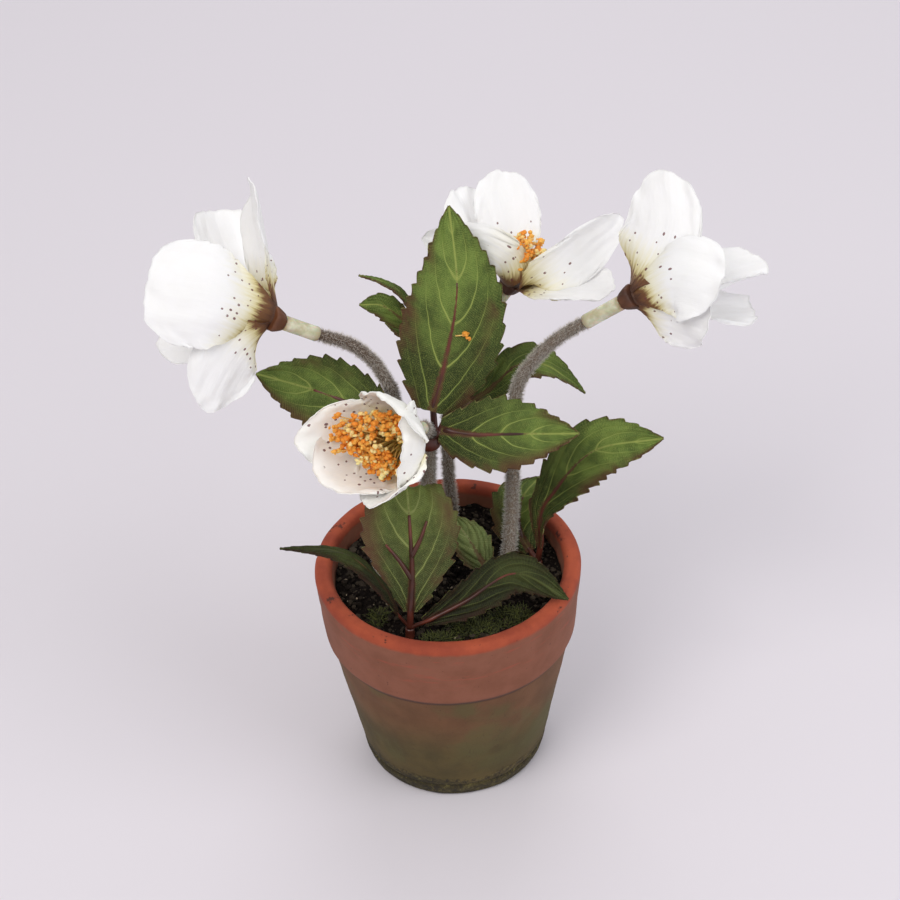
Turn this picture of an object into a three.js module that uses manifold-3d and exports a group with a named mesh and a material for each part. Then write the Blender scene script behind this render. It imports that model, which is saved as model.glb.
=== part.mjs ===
// A potted christmas rose: four nodding white blooms on flocked wire stems, toothed leaves on
// moulded ribs, and a small terracotta pot filled with soil.
// Millimetres. +Z is up, the origin is the centre of the pot's base, and the front faces -Y.

import * as THREE from "three";
import * as BufferGeometryUtils from "three/addons/utils/BufferGeometryUtils.js";
import Module from "manifold-3d";

const wasm = await Module();
wasm.setup();

// ---------------------------------------------------------------- driving dimensions

const GAP = 0.3; // clearance between neighbouring pieces

const POT = {
  height: 80.8,
  rimRadius: 45,
  lipWidth: 5.8,
  collarHeight: 27,
  collarFootRadius: 42.8,
  bodyTopRadius: 41.4,
  baseRadius: 31,
  footHeight: 5.5,
  footGroove: 0.6,
  wall: 5,
  floor: 5,
  edge: 1.2,
  bevel: 0.5,
  bellyHeight: 30, // where the inside is widest for its height
  bellyPower: 0.75,
  cove: 1, // how much narrower the inside is at the floor than the wall would make it
  sides: 36,
};

const SOIL = { top: 75, shoulder: 4, sink: 1.5, bump: 0.9, holeFloor: 56, bore: 30, rings: 3, sides: 32 };
const MOUND = { broad: [0.31, 0.27], shift: [1.1, 0.6], fine: [0.7, 0.5], fineShare: 0.5 };
const TENSION = 0.5; // of every curve through points
const ASKEW = [0.31, 0.89, 0.33]; // a direction that no rod runs along
const UPWARD = [0.2, 0.3, 1]; // where the count of the stamens starts

const SHEET = 0.7; // thickness of a petal or a leaflet
const RIB = { root: 1.3, tip: 0.65, sides: 6, steps: 5, reach: 0.6 };
const PETIOLE = { foot: 2.0, top: 1.7, sides: 8 };
const STEM = { sides: 8, step: 9, clearance: 0.36 };
const PIN = { radius: 1.0, length: 6, sunk: 1, cover: 1, sides: 6 };
const SLEEVE = { radius: 2.5, sides: 10 };
const CALYX = { back: 2.2, front: 0.2, backRadius: 2.7, frontRadius: 3.4, bevel: 0.5, sides: 12 };
const RECEPTACLE = { radius: 2.8, forward: 3.4 };
const COLLAR = { wall: 1.0, length: 5, sides: 10 };
const PETAL = { rows: 6, columns: 4, turned: 0.35, claw: 0.2, swell: 0.95, out: 1.6, forward: 2.6 };
const AXIS_REACH = 30; // how far up a bloom's axis its petals are cupped towards
const RUFFLE = { height: 1.1, turns: 1.25, shift: 1.7, drift: 4 };
const LEAFLET = { columns: 4, toothDepth: 0.1, toothRise: 0.8, start: 0.1, swell: 0.85 };
const STAMEN = { core: 1.2, clearance: 1.3, filament: 0.36, anther: 1.0, antherLength: 2.6, sides: 3 };
const STAMEN_LENGTHS = { shortest: 0.85, range: 0.3 }; // shares of a bloom's stamen length

// The stems: points from inside the soil to where the sleeve begins.
const STEMS = {
  left: {
    points: [
      [-20.4, -2.2, 57], [-21, -1.2, 75], [-23.5, 3, 84.9], [-23.3, 8, 95.2], [-19.1, 13, 110.3],
      [-15, 17, 125.9], [-15.4, 18, 138], [-17.7, 17, 145.5], [-21.5, 16, 153.7], [-28.1, 14, 161.9],
      [-38, 12, 167.7],
    ],
    radius: [2.5, 2.1],
  },
  right: {
    points: [
      [18.6, -1, 57], [19.9, 0, 74.2], [22.5, 8, 98.9], [23.5, 13, 124.7], [24.5, 14, 136.3],
      [26.3, 14, 144.4], [29.6, 13, 151], [35.4, 11, 159.7], [42.4, 9, 167], [47, 7.5, 170.8],
    ],
    radius: [2.5, 2.0],
  },
  back: {
    points: [
      [2, 27.5, 57], [2.2, 28.5, 78], [1.6, 31, 105], [2.5, 33, 119], [5.4, 35, 134],
      [10.9, 37, 146.8], [16.6, 38, 153.4],
    ],
    radius: [2.1, 1.9],
  },
  front: {
    points: [
      [-7, 7, 57], [-6.6, 7, 75], [-5.3, 7, 107.9], [-4.3, 7.2, 124], [-4.6, 6.8, 130], [-6, 4.9, 134],
    ],
    radius: [2.6, 2.5],
  },
};

// A petal's outline: where along it its sides stop widening, the power of its rim's curve (2 is an
// ellipse, less is pointed, more is square), and the share of its length that the rim takes up.
const ROUND = { until: 0.85, power: 2, rim: 0.36 };
const BROAD = { until: 0.85, power: 3.2, rim: 0.28 };
const POINTED = { until: 0.8, power: 1.35, rim: 0.55 };

// The blooms: where the receptacle is, which way it faces, and each petal's midline as offsets
// from the receptacle, with its half width, cup, the direction across it and its outline.
const BLOOMS = {
  left: {
    base: [-49.8, 8, 176.5],
    axis: [-0.86, 0.33, 0.39],
    petals: [
      {
        path: [[-2.4, -1, 2], [-18.5, -7.5, 16.2], [-39.5, -5.5, 21]],
        half: 17, cup: 0.3, across: [0.25, 0.74, 0.62],
        outline: BROAD,
      },
      {
        path: [[-2.2, -2.5, 0], [-14.2, -11, -6], [-24.2, -19, -20.5]],
        half: 12, cup: 0.25, across: [-0.52, -0.17, 0.83],
        outline: { until: 0.7, power: 1.5, rim: 0.45 },
      },
      {
        path: [[-1.8, 1.8, 2.3], [-3.2, 17.3, 17.1], [-6.8, 29.3, 35.5]],
        half: 11, cup: 0.35, across: [-0.28, 0.74, -0.62],
        outline: POINTED,
      },
      {
        path: [[-2.9, 3.7, -0.1], [-13, 25.7, 8.5], [-19.8, 40.2, 17.2]],
        half: 14.5, cup: 0.2, across: [0.72, 0.69, -0.08],
        outline: BROAD,
      },
      {
        path: [[-3.7, 2, -2.4], [-21.7, 10.3, -11.2], [-41, 11.1, -13.5]],
        half: 15, cup: 0.2, across: [0.14, 0.97, 0.18],
        outline: ROUND,
      },
    ],
    stamens: { count: 12, spread: 24, length: 8 },
  },
  right: {
    base: [59.7, 4, 181.2],
    axis: [0.96, 0.25, 0.13],
    petals: [
      {
        path: [[1, 1.1, 3], [11.5, 11, 19.5], [11.8, 26, 31.5]],
        half: 13, cup: 0.2, across: [0.9, -0.41, 0.14],
        outline: { until: 0.7, power: 1.7, rim: 0.5 },
      },
      {
        path: [[2, -1.6, 2.9], [14.3, -4.3, 13.6], [28, -12.3, 15]],
        half: 12.3, cup: 0.3, across: [-0.06, 0.83, 0.55],
        outline: ROUND,
      },
      {
        path: [[2.3, -2.7, -0.2], [13.2, -7.2, 0.4], [24.5, -16.4, 0.6]],
        half: 11.5, cup: 0.28, across: [0.22, 0.25, 0.94],
        outline: ROUND,
      },
      {
        path: [[2.8, 3.5, -0.3], [26, 12, -1], [46.5, 18.5, -0.5]],
        half: 13.5, cup: 0.2, across: [-0.17, 0.98, -0.12],
        outline: ROUND,
      },
      {
        path: [[2.7, 1.6, -2.8], [24, 3, -7], [41.2, 5, -10]],
        half: 12, cup: 0.2, across: [-0.08, 0.99, -0.13],
        outline: BROAD,
      },
    ],
    stamens: { count: 12, spread: 20, length: 8 },
  },
  back: {
    base: [23.9, 38, 164.7],
    axis: [0.42, -0.05, 0.9],
    petals: [
      {
        path: [[0.1, 2.9, 0.4], [1, 20.1, 12.9], [-0.5, 36.5, 22]],
        half: 11, cup: 0.2, across: [0.98, -0.01, -0.17],
        outline: ROUND,
      },
      {
        path: [[-1.2, 1.5, 0.2], [-7.5, 17, 10.5], [-13.5, 33, 18.5]],
        half: 10.5, cup: 0.2, across: [0.85, 0.45, -0.2],
        outline: ROUND,
      },
      {
        path: [[-1, -1.5, 0.5], [-6.5, -8.5, 16], [-28, 7, 16]],
        half: 10.5, cup: 0.25, across: [0.54, -0.05, 0.84],
        outline: { until: 0.6, power: 1.8, rim: 0.45 },
      },
      {
        path: [[1.8, -1.5, 0], [15, -7, 9.5], [38.5, 9, 19.5]],
        half: 9.5, cup: 0.25, across: [-0.3, 0.3, 0.9],
        outline: { until: 0.6, power: 1.7, rim: 0.45 },
      },
      {
        path: [[1.4, -1.7, 0.2], [17, -8, 4.5], [34.5, -10.5, 6.5]],
        half: 12, cup: 0.2, across: [0.31, 0.95, 0],
        outline: ROUND,
      },
    ],
    stamens: { count: 16, spread: 24, length: 10 },
  },
  front: {
    base: [-9.6, -2, 135.4],
    axis: [-0.6, -0.67, 0.44],
    petals: [
      {
        path: [[0.1, -0.1, 2.2], [-1.5, -4.4, 16.4], [-8.5, -11.3, 25.8]],
        half: 14, cup: 0.42, across: [-0.72, 0.69, 0.06],
        outline: ROUND,
      },
      {
        path: [[-2.2, 0.5, 0.1], [-18.9, -0.2, 2.6], [-37.5, -6, 4.9]],
        half: 14.5, cup: 0.45, across: [0.01, -0.55, -0.83],
        outline: { until: 0.85, power: 1.5, rim: 0.45 },
      },
      {
        path: [[-1.9, -0.6, -1.1], [-15.5, -9, -5.6], [-26.5, -20.5, -2]],
        half: 14.5, cup: 0.35, across: [0.8, -0.5, -0.3],
        outline: ROUND,
      },
      {
        path: [[-0.5, -1.8, -1.2], [-6.1, -16.7, -6.3], [-14.8, -29, -4.8]],
        half: 12.5, cup: 0.42, across: [0.8, -0.49, 0.35],
        outline: { until: 0.7, power: 1.1, rim: 0.55 },
      },
      {
        path: [[1, -1.8, 0.9], [4, -14.2, 6.5], [-2.6, -22.5, 13]],
        half: 14.5, cup: 0.4, across: [0.12, 0.47, 0.88],
        outline: BROAD,
      },
    ],
    stamens: { count: 22, spread: 42, length: 14 },
  },
};

// The leaves: what carries the ribs, where they meet, and each leaflet's midrib, with the direction
// across it at its root and tip, its half width, its fold, the power that shifts its widest place
// towards the tip, its teeth along each edge, and the side of the sheet that its rib is on.
const LEAVES = {
  whorl: {
    stem: "front",
    collarAt: [-4.5, 7.1, 127],
    leaflets: {
      upright: {
        path: [[-4.7, 7, 132.6], [2.1, 14, 153], [7, 23, 174.8], [5.6, 33, 200.4]],
        across: [[1, 0, 0.1], [1, 0, 0]],
        half: 18, fold: 0.02, widest: 0.85, teeth: 9, ribSide: 1,
      },
      right: {
        path: [[-3.7, 5, 133.3], [9.1, 0, 133.9], [25.1, -6, 137.7], [43.7, -12, 141.5]],
        across: [[0, 0.6, 0.8], [0, 0.7, 0.7]],
        half: 13.2, fold: 0.12, widest: 0.9, teeth: 7, ribSide: -1,
      },
      left: {
        path: [
          [-7, 8, 131.2], [-16, 10, 133.9], [-24.8, 15, 134.7], [-42.7, 22, 138.7],
          [-60.1, 25, 143.8],
        ],
        across: [[0, 0.2, 0.98], [-0.3, 0.7, 0.6]],
        half: 13.8, fold: 0.12, widest: 1.15, teeth: 7, ribSide: 1,
      },
      arching: {
        path: [
          [-3, 9, 131.8], [15.6, 21, 135.2], [25.2, 27, 140.5], [35.3, 30, 138.6],
          [48.8, 29, 126.9],
        ],
        across: [[-0.2, 0.6, 0.75], [-0.2, 0.95, 0.1]],
        half: 7.5, fold: 0.1, widest: 0.94, teeth: 6, ribSide: -1,
      },
    },
  },
  front_leaf: {
    petiole: [[-13.4, -29.5, 57], [-13.4, -29.5, 76]],
    hub: [-13.4, -29.5, 77.5],
    leaflets: {
      centre: {
        path: [
          [-13.3, -29, 79.6], [-11.8, -24, 95.6], [-11.7, -17, 108.9], [-12.1, -8, 118.3],
          [-12.6, -1, 111],
        ],
        across: [[1, 0, 0], [1, 0, 0]],
        half: 17, fold: -0.1, widest: 1.25, teeth: 8, ribSide: -1,
      },
      left: {
        path: [[-15.5, -30, 80.6], [-21.2, -32, 98.8], [-32.6, -31, 112.3], [-53.3, -29, 114.3]],
        across: [[0.2, 0.9, -0.35], [0.2, 0.9, -0.35]],
        half: 6.5, fold: 0.2, widest: 1.2, teeth: 6, ribSide: 1,
      },
      right: {
        path: [[-12.3, -31, 79.1], [4.4, -28.5, 86.9], [21.8, -22, 92.7], [38.9, -26, 83.8]],
        across: [[-0.3, 0.3, 0.9], [0.1, 0.5, 0.9]],
        half: 8.5, fold: 0.1, widest: 1.1, teeth: 7, ribSide: 1,
      },
    },
  },
  right_leaf: {
    petiole: [[31, 2.5, 57], [30.6, 3, 74]],
    hub: [30.5, 3.4, 75.5],
    leaflets: {
      outer: {
        path: [[31.2, 2, 76.2], [31.5, 6, 91], [35.7, 8, 100.3], [49.6, 6, 119.8], [71.8, 0, 128.6]],
        across: [[-0.56, 0.75, 0.46], [-0.56, 0.75, 0.46]],
        half: 11.5, fold: 0.2, widest: 1.5, teeth: 9, ribSide: -1,
      },
      inner: {
        path: [[29.2, 5, 76], [24.9, 12, 83], [26.6, 18, 92], [33, 27, 93.5]],
        across: [[1, 0, 0], [1, 0, 0]],
        half: 11, fold: 0.1, widest: 1.1, teeth: 5, ribSide: 1,
      },
    },
  },
  inner_leaf: {
    petiole: [[16.6, -6, 57], [16.4, -5.5, 73]],
    hub: [16.3, -5.2, 74.5],
    leaflets: {
      blade: {
        path: [[16.3, -5, 75.5], [11.5, -3, 82.3], [7.7, 0, 88.9], [2.1, 6, 95.1]],
        across: [[0.85, 0.2, 0.45], [0.88, 0.37, 0.3]],
        half: 7.2, fold: 0.1, widest: 1.2, teeth: 5, ribSide: 1,
      },
    },
  },
  back_leaf: {
    stem: "back",
    collarAt: [9.6, 36.7, 144],
    arm: [0.5, 37, 144.5],
    leaflets: {
      upper: {
        path: [[-3, 38, 147], [-10, 42, 160.2], [-16.4, 44, 164.8], [-24.8, 46, 167.1]],
        across: [[0.2, 0.9, -0.35], [0.2, 0.9, -0.35]],
        half: 4.5, fold: 0.1, widest: 1, teeth: 4, ribSide: 1,
      },
      middle: {
        path: [[-3.7, 35.5, 145], [-10.9, 35.5, 155], [-17.6, 36.5, 160.6], [-25.2, 38, 160.4]],
        across: [[0.2, 0.6, 0.7], [0.2, 0.6, 0.7]],
        half: 5, fold: 0.1, widest: 1.5, teeth: 5, ribSide: 1,
      },
      lower: {
        path: [[-3.4, 38, 143], [-8.9, 42, 145], [-12.9, 46, 145.8], [-17.4, 50, 144.4]],
        across: [[0.2, 0.9, 0.3], [0.2, 0.9, 0.3]],
        half: 4, fold: 0.1, widest: 1, teeth: 4, ribSide: 1,
      },
    },
  },
};

// ---------------------------------------------------------------- materials

function finish(color, roughness, extra = {}) {
  return new THREE.MeshStandardMaterial({ color, roughness, metalness: 0, ...extra });
}

const MATERIALS = {
  terracotta: finish(0x9a5a45, 0.85),
  soil: finish(0x211714, 1),
  flock: finish(0x85807a, 1),
  sleeve: finish(0xd5d8c0, 0.35, { transparent: true, opacity: 0.8 }),
  calyx: finish(0x5a3018, 0.7),
  petal: finish(0xf4f2ec, 0.6),
  stamen: finish(0xe08a22, 0.6),
  leaf: finish(0x456b2e, 0.75),
  rib: finish(0x57291f, 0.4),
};

// ---------------------------------------------------------------- small helpers

function seeded(seed) {
  let state = seed;
  return () => {
    state = (Math.imul(state, 1664525) + 1013904223) >>> 0;
    return state / 4294967296;
  };
}

function vector(point) {
  return new THREE.Vector3(...point);
}

function curveThrough(points) {
  return new THREE.CatmullRomCurve3(points.map(vector), false, "catmullrom", TENSION);
}

/** A direction perpendicular to `axis`, as near `hint` as it can be. */
function perpendicular(hint, axis) {
  return hint.clone().addScaledVector(axis, -hint.dot(axis)).normalize();
}

/** A closed geometry from a list of points and a list of triangles, facing outwards. */
function closedGeometry(points, triangles) {
  let volume = 0;
  for (const [a, b, c] of triangles) {
    volume += points[a].dot(points[b].clone().cross(points[c]));
  }
  const geometry = new THREE.BufferGeometry();
  const index = triangles.flatMap(([a, b, c]) => (volume < 0 ? [a, c, b] : [a, b, c]));
  geometry.setAttribute(
    "position",
    new THREE.Float32BufferAttribute(points.flatMap((point) => point.toArray()), 3),
  );
  geometry.setIndex(index);
  return geometry;
}

/** Merges the shared vertices of a three.js geometry and drops the triangles that vanish. */
function welded(geometry) {
  const bare = geometry.clone();
  bare.deleteAttribute("normal");
  bare.deleteAttribute("uv");
  const merged = BufferGeometryUtils.mergeVertices(bare, 1e-4);
  const position = merged.getAttribute("position");
  const points = [];
  for (let i = 0; i < position.count; i += 1) {
    points.push(new THREE.Vector3().fromBufferAttribute(position, i));
  }
  const triangles = [];
  for (let i = 0; i < merged.index.count; i += 3) {
    const [a, b, c] = [0, 1, 2].map((k) => merged.index.getX(i + k));
    if (a !== b && b !== c && c !== a) triangles.push([a, b, c]);
  }
  return closedGeometry(points, triangles);
}

function toSolid(geometry) {
  return new wasm.Manifold(
    new wasm.Mesh({
      numProp: 3,
      vertProperties: new Float32Array(geometry.getAttribute("position").array),
      triVerts: new Uint32Array(geometry.index.array),
    }),
  );
}

function toGeometry(solid) {
  const mesh = solid.getMesh();
  const geometry = new THREE.BufferGeometry();
  geometry.setAttribute("position", new THREE.BufferAttribute(new Float32Array(mesh.vertProperties), 3));
  geometry.setIndex(new THREE.BufferAttribute(new Uint32Array(mesh.triVerts), 1));
  return geometry;
}

/** The point of a path nearest to `target`, and its place in the path. */
function nearestOn(path, target) {
  const distances = path.map((point) => point.distanceTo(target));
  const index = distances.indexOf(Math.min(...distances));
  return { index, point: path[index] };
}

/** One solid from overlapping ones, with the pockets that they shut in filled. */
function fused(geometries) {
  const whole = geometries.map(toSolid).reduce((sum, piece) => sum.add(piece));
  const outer = whole.decompose().filter((piece) => piece.volume() > 0);
  return outer.reduce((sum, piece) => sum.add(piece));
}

// ---------------------------------------------------------------- shapes

/** A closed round rod along points, with `radiusAt(i)` its radius at point i. */
function rod(path, radiusAt, sides) {
  const points = [];
  const triangles = [];
  const count = path.length;
  let side = null;
  for (let i = 0; i < count; i += 1) {
    const tangent = path[Math.min(i + 1, count - 1)].clone().sub(path[Math.max(i - 1, 0)]).normalize();
    const hint = side ?? vector(ASKEW);
    side = perpendicular(hint, tangent);
    const other = tangent.clone().cross(side);
    const radius = radiusAt(i);
    for (let k = 0; k < sides; k += 1) {
      const angle = (2 * Math.PI * k) / sides;
      const offset = side.clone().multiplyScalar(radius * Math.cos(angle));
      points.push(offset.addScaledVector(other, radius * Math.sin(angle)).add(path[i]));
    }
  }
  for (let i = 0; i + 1 < count; i += 1) {
    for (let k = 0; k < sides; k += 1) {
      const [a, b] = [i * sides + k, i * sides + ((k + 1) % sides)];
      triangles.push([a, b, b + sides], [a, b + sides, a + sides]);
    }
  }
  const [first, last] = [points.length, points.length + 1];
  points.push(path[0].clone(), path[count - 1].clone());
  const end = (count - 1) * sides;
  for (let k = 0; k < sides; k += 1) {
    const next = (k + 1) % sides;
    triangles.push([first, next, k], [last, end + k, end + next]);
  }
  return closedGeometry(points, triangles);
}

/** A rod whose radius changes evenly from one end to the other. */
function taperedRod(path, from, to, sides) {
  return rod(path, (i) => THREE.MathUtils.lerp(from, to, i / (path.length - 1)), sides);
}

/** A turned solid: the profile is [radius, height] pairs along `axis`, from `base`. */
function turned(profile, base, axis, sides) {
  const outline = profile.map(([radius, height]) => new THREE.Vector2(radius, height));
  const geometry = new THREE.LatheGeometry(outline, sides);
  geometry.applyQuaternion(new THREE.Quaternion().setFromUnitVectors(new THREE.Vector3(0, 1, 0), axis));
  geometry.translate(...base.toArray());
  return welded(geometry);
}

/** A thin closed sheet over a grid of points, split into triangles alike on both faces. */
function sheet(grid) {
  const rows = grid.length;
  const columns = grid[0].length;
  const at = (i, j) => grid[Math.min(Math.max(i, 0), rows - 1)][Math.min(Math.max(j, 0), columns - 1)];
  const points = [];
  const triangles = [];
  for (const offset of [SHEET / 2, -SHEET / 2]) {
    for (let i = 0; i < rows; i += 1) {
      for (let j = 0; j < columns; j += 1) {
        const along = at(i + 1, j).clone().sub(at(i - 1, j));
        const across = at(i, j + 1).clone().sub(at(i, j - 1));
        points.push(grid[i][j].clone().addScaledVector(along.cross(across).normalize(), offset));
      }
    }
  }
  const under = rows * columns;
  for (let i = 0; i + 1 < rows; i += 1) {
    for (let j = 0; j + 1 < columns; j += 1) {
      const [a, b] = [i * columns + j, i * columns + j + 1];
      const [c, d] = [b + columns, a + columns];
      const pair = 2 * j < columns - 1 ? [[a, b, c], [a, c, d]] : [[a, b, d], [b, c, d]];
      for (const [p, q, r] of pair) {
        triangles.push([p, q, r], [under + p, under + r, under + q]);
      }
    }
  }
  const edge = [];
  for (let j = 0; j < columns; j += 1) edge.push(j);
  for (let i = 1; i < rows; i += 1) edge.push(i * columns + columns - 1);
  for (let j = columns - 2; j >= 0; j -= 1) edge.push((rows - 1) * columns + j);
  for (let i = rows - 2; i > 0; i -= 1) edge.push(i * columns);
  edge.forEach((a, k) => {
    const b = edge[(k + 1) % edge.length];
    triangles.push([a, under + a, under + b], [a, under + b, b]);
  });
  return closedGeometry(points, triangles);
}

// ---------------------------------------------------------------- leaflets and ribs

/** The leaflet's half width, from 0 at its ends to 1 where it is widest. */
function leafletOutline(t, widest) {
  return Math.max(Math.sin(Math.PI * t ** widest), 0) ** LEAFLET.swell;
}

/** The frame of a leaflet at `t`: a point of its midrib, the direction across it and its normal. */
function leafletFrame(leaflet, curve, t) {
  const point = curve.getPointAt(t);
  const tangent = curve.getTangentAt(t);
  const hint = vector(leaflet.across[0]).normalize().lerp(vector(leaflet.across[1]).normalize(), t);
  const across = perpendicular(hint, tangent);
  return { point, across, normal: tangent.clone().cross(across) };
}

/** Rows from notch to tooth along the leaflet, then its tip. */
function toothedRows(teeth) {
  const rows = [];
  const share = (1 - LEAFLET.start) / teeth;
  for (let k = 0; k < teeth; k += 1) {
    rows.push({ t: LEAFLET.start + k * share, scale: 1 - LEAFLET.toothDepth });
    rows.push({ t: LEAFLET.start + (k + LEAFLET.toothRise) * share, scale: 1 });
  }
  rows.push({ t: 1, scale: 1 });
  return rows;
}

function leafletGrid(leaflet) {
  const curve = curveThrough(leaflet.path);
  const smallest = 0.5;
  return toothedRows(leaflet.teeth).map(({ t, scale }) => {
    const { point, across, normal } = leafletFrame(leaflet, curve, t);
    const half = Math.max(leafletOutline(t, leaflet.widest) * leaflet.half * scale, smallest);
    const row = [];
    for (let j = 0; j <= LEAFLET.columns; j += 1) {
      const s = (2 * j) / LEAFLET.columns - 1;
      const rise = half * leaflet.fold * Math.abs(s);
      row.push(point.clone().addScaledVector(across, half * s).addScaledVector(normal, rise));
    }
    return row;
  });
}

/** The moulded rib under a leaflet, from its root to past the leaflet's middle. */
function ribUnder(leaflet, rootAt) {
  const curve = curveThrough(leaflet.path);
  const under = (SHEET / 2 + RIB.root + GAP) * leaflet.ribSide;
  const path = [];
  for (let i = 0; i < RIB.steps; i += 1) {
    const t = LEAFLET.start + ((RIB.reach - LEAFLET.start) * i) / (RIB.steps - 1);
    const { point, normal } = leafletFrame(leaflet, curve, t);
    path.push(point.addScaledVector(normal, under));
  }
  return taperedRod([rootAt(path[0]), ...path], RIB.root, RIB.tip, RIB.sides);
}

/** Ribs that meet at the top of a petiole standing in the soil. */
function ribsOnPetiole({ petiole, hub, leaflets }) {
  const pieces = Object.values(leaflets).map((leaflet) => ribUnder(leaflet, () => vector(hub)));
  pieces.push(taperedRod([...petiole, hub].map(vector), PETIOLE.foot, PETIOLE.top, PETIOLE.sides));
  return toGeometry(fused(pieces));
}

/** Ribs on a collar that slips over a stem, straight off it or from the end of a short arm. */
function ribsOnStem({ stem: name, collarAt, arm, leaflets }) {
  const path = stemPath(name);
  const centre = vector(collarAt);
  const { index, point } = nearestOn(path, centre);
  const along = path[index + 1].clone().sub(path[index - 1]).normalize();
  const bore = STEMS[name].radius[0] + GAP;
  const half = COLLAR.length / 2;
  const ends = [-half, half].map((shift) => point.clone().addScaledVector(along, shift));
  const onCollar = (target) =>
    point.clone().addScaledVector(perpendicular(target.clone().sub(point), along), bore + RIB.root);
  const hub = arm && vector(arm);
  const pieces = Object.values(leaflets).map((leaflet) => ribUnder(leaflet, hub ? () => hub : onCollar));
  pieces.push(rod(ends, () => bore + COLLAR.wall, COLLAR.sides));
  if (hub) pieces.push(rod([point, hub], () => RIB.root, RIB.sides));
  return toGeometry(fused(pieces).subtract(toSolid(stemRod(name, STEM.clearance))));
}

// ---------------------------------------------------------------- blooms

/** A petal's half width as a share: a narrow claw, then wider until its rim begins. */
function petalWidth(t, until) {
  const { claw, swell } = PETAL;
  return claw + (1 - claw) * Math.sin((Math.PI / 2) * Math.min(t / until, 1)) ** swell;
}

/** How far back the rim falls from the petal's tip, at a share s of the half width. */
function rimFall(s, { power, rim }) {
  return rim * (1 - Math.sqrt(1 - Math.abs(s) ** power));
}

function petalGrid(bloom, petal, order) {
  const base = vector(bloom.base);
  const axis = vector(bloom.axis).normalize();
  const chord = vector(petal.path[2]).sub(vector(petal.path[0]));
  const middle = vector(petal.path[1]);
  const root = perpendicular(middle, axis).multiplyScalar(PETAL.out).addScaledVector(axis, PETAL.forward);
  const curve = curveThrough([root.toArray(), ...petal.path.slice(1)]);
  const tipSide = vector(petal.across).normalize();
  const rootSide = axis.clone().cross(middle).normalize();
  if (rootSide.dot(tipSide) < 0) rootSide.negate();
  const towards = axis.clone().multiplyScalar(AXIS_REACH).sub(middle);
  const inward = Math.sign(chord.clone().cross(tipSide).dot(towards)) || 1;
  const rows = [];
  for (let i = 0; i <= PETAL.rows; i += 1) {
    const t = i / PETAL.rows;
    const half = petalWidth(t, petal.outline.until) * petal.half;
    const row = [];
    for (let j = 0; j <= PETAL.columns; j += 1) {
      const s = Math.sin((Math.PI / 2) * ((2 * j) / PETAL.columns - 1));
      const along = t - THREE.MathUtils.smoothstep(t, 0, 1) * rimFall(s, petal.outline);
      const turn = THREE.MathUtils.smoothstep(along, 0, PETAL.turned);
      const tangent = curve.getTangentAt(along);
      const across = perpendicular(rootSide.clone().lerp(tipSide, turn), tangent);
      const normal = tangent.clone().cross(across).multiplyScalar(inward);
      const phase = 2 * Math.PI * RUFFLE.turns * s + RUFFLE.shift * order + RUFFLE.drift * t;
      const rise = half * petal.cup * s * s + RUFFLE.height * t * t * Math.abs(s) * Math.sin(phase);
      const point = curve.getPointAt(along).add(base);
      row.push(point.addScaledVector(across, half * s).addScaledVector(normal, rise));
    }
    rows.push(row);
  }
  return rows;
}

function petals(bloom) {
  const axis = vector(bloom.axis).normalize();
  const core = new THREE.SphereGeometry(RECEPTACLE.radius, 8, 5);
  core.translate(...vector(bloom.base).addScaledVector(axis, RECEPTACLE.forward).toArray());
  const sheets = bloom.petals.map((petal, order) => sheet(petalGrid(bloom, petal, order)));
  return fused([welded(core), ...sheets]);
}

/** The brown cup behind the petals, in line with its sleeve. */
function calyx(name) {
  const { back, front, backRadius, frontRadius, bevel, sides } = CALYX;
  const profile = [
    [0, -back], [backRadius, -back], [frontRadius, -front - bevel],
    [frontRadius - bevel, -front], [0, -front],
  ];
  return turned(profile, vector(BLOOMS[name].base), neck(name).along, sides);
}

/** One stamen: a thin filament that ends in a fat anther, as one spindle. */
function stamen(start, direction, length) {
  const { filament, anther, antherLength } = STAMEN;
  const at = (distance) => start.clone().addScaledVector(direction, distance);
  const path = [at(0), at(length - antherLength), at(length - antherLength / 2), at(length)];
  return rod(path, (i) => [filament, filament, anther, filament][i], STAMEN.sides);
}

/** Stamens spread evenly over a cone round the bloom's axis, where no petal is in their way. */
function stamens(bloom, petalSolid, seed) {
  const random = seeded(seed);
  const { count, spread, length } = bloom.stamens;
  const { shortest, range } = STAMEN_LENGTHS;
  const axis = vector(bloom.axis).normalize();
  const side = perpendicular(vector(UPWARD), axis);
  const other = axis.clone().cross(side);
  const start = RECEPTACLE.forward + RECEPTACLE.radius + STAMEN.clearance + STAMEN.core;
  const centre = vector(bloom.base).addScaledVector(axis, start);
  const core = new THREE.IcosahedronGeometry(STAMEN.core, 0);
  core.translate(...centre.toArray());
  const pieces = [toSolid(welded(core))];
  const goldenAngle = Math.PI * (3 - Math.sqrt(5));
  for (let k = 0; k < count; k += 1) {
    const tilt = THREE.MathUtils.degToRad(spread) * Math.sqrt((k + 0.5) / count);
    const turn = k * goldenAngle;
    const direction = axis.clone().multiplyScalar(Math.cos(tilt))
      .addScaledVector(side, Math.sin(tilt) * Math.cos(turn))
      .addScaledVector(other, Math.sin(tilt) * Math.sin(turn));
    const piece = toSolid(stamen(centre, direction, length * (shortest + range * random())));
    if (piece.intersect(petalSolid).isEmpty()) pieces.push(piece);
  }
  return toGeometry(pieces.reduce((whole, piece) => whole.add(piece)));
}

// ---------------------------------------------------------------- stems and sleeves

/** Where a stem's flock ends, the way on from there to its bloom, and how far the sleeve runs. */
function neck(name) {
  const start = vector(STEMS[name].points.at(-1));
  const way = vector(BLOOMS[name].base).sub(start);
  return { start, along: way.clone().normalize(), length: way.length() - CALYX.back - GAP };
}

function stemPath(name) {
  const curve = curveThrough(STEMS[name].points);
  return curve.getSpacedPoints(Math.round(curve.getLength() / STEM.step));
}

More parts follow.
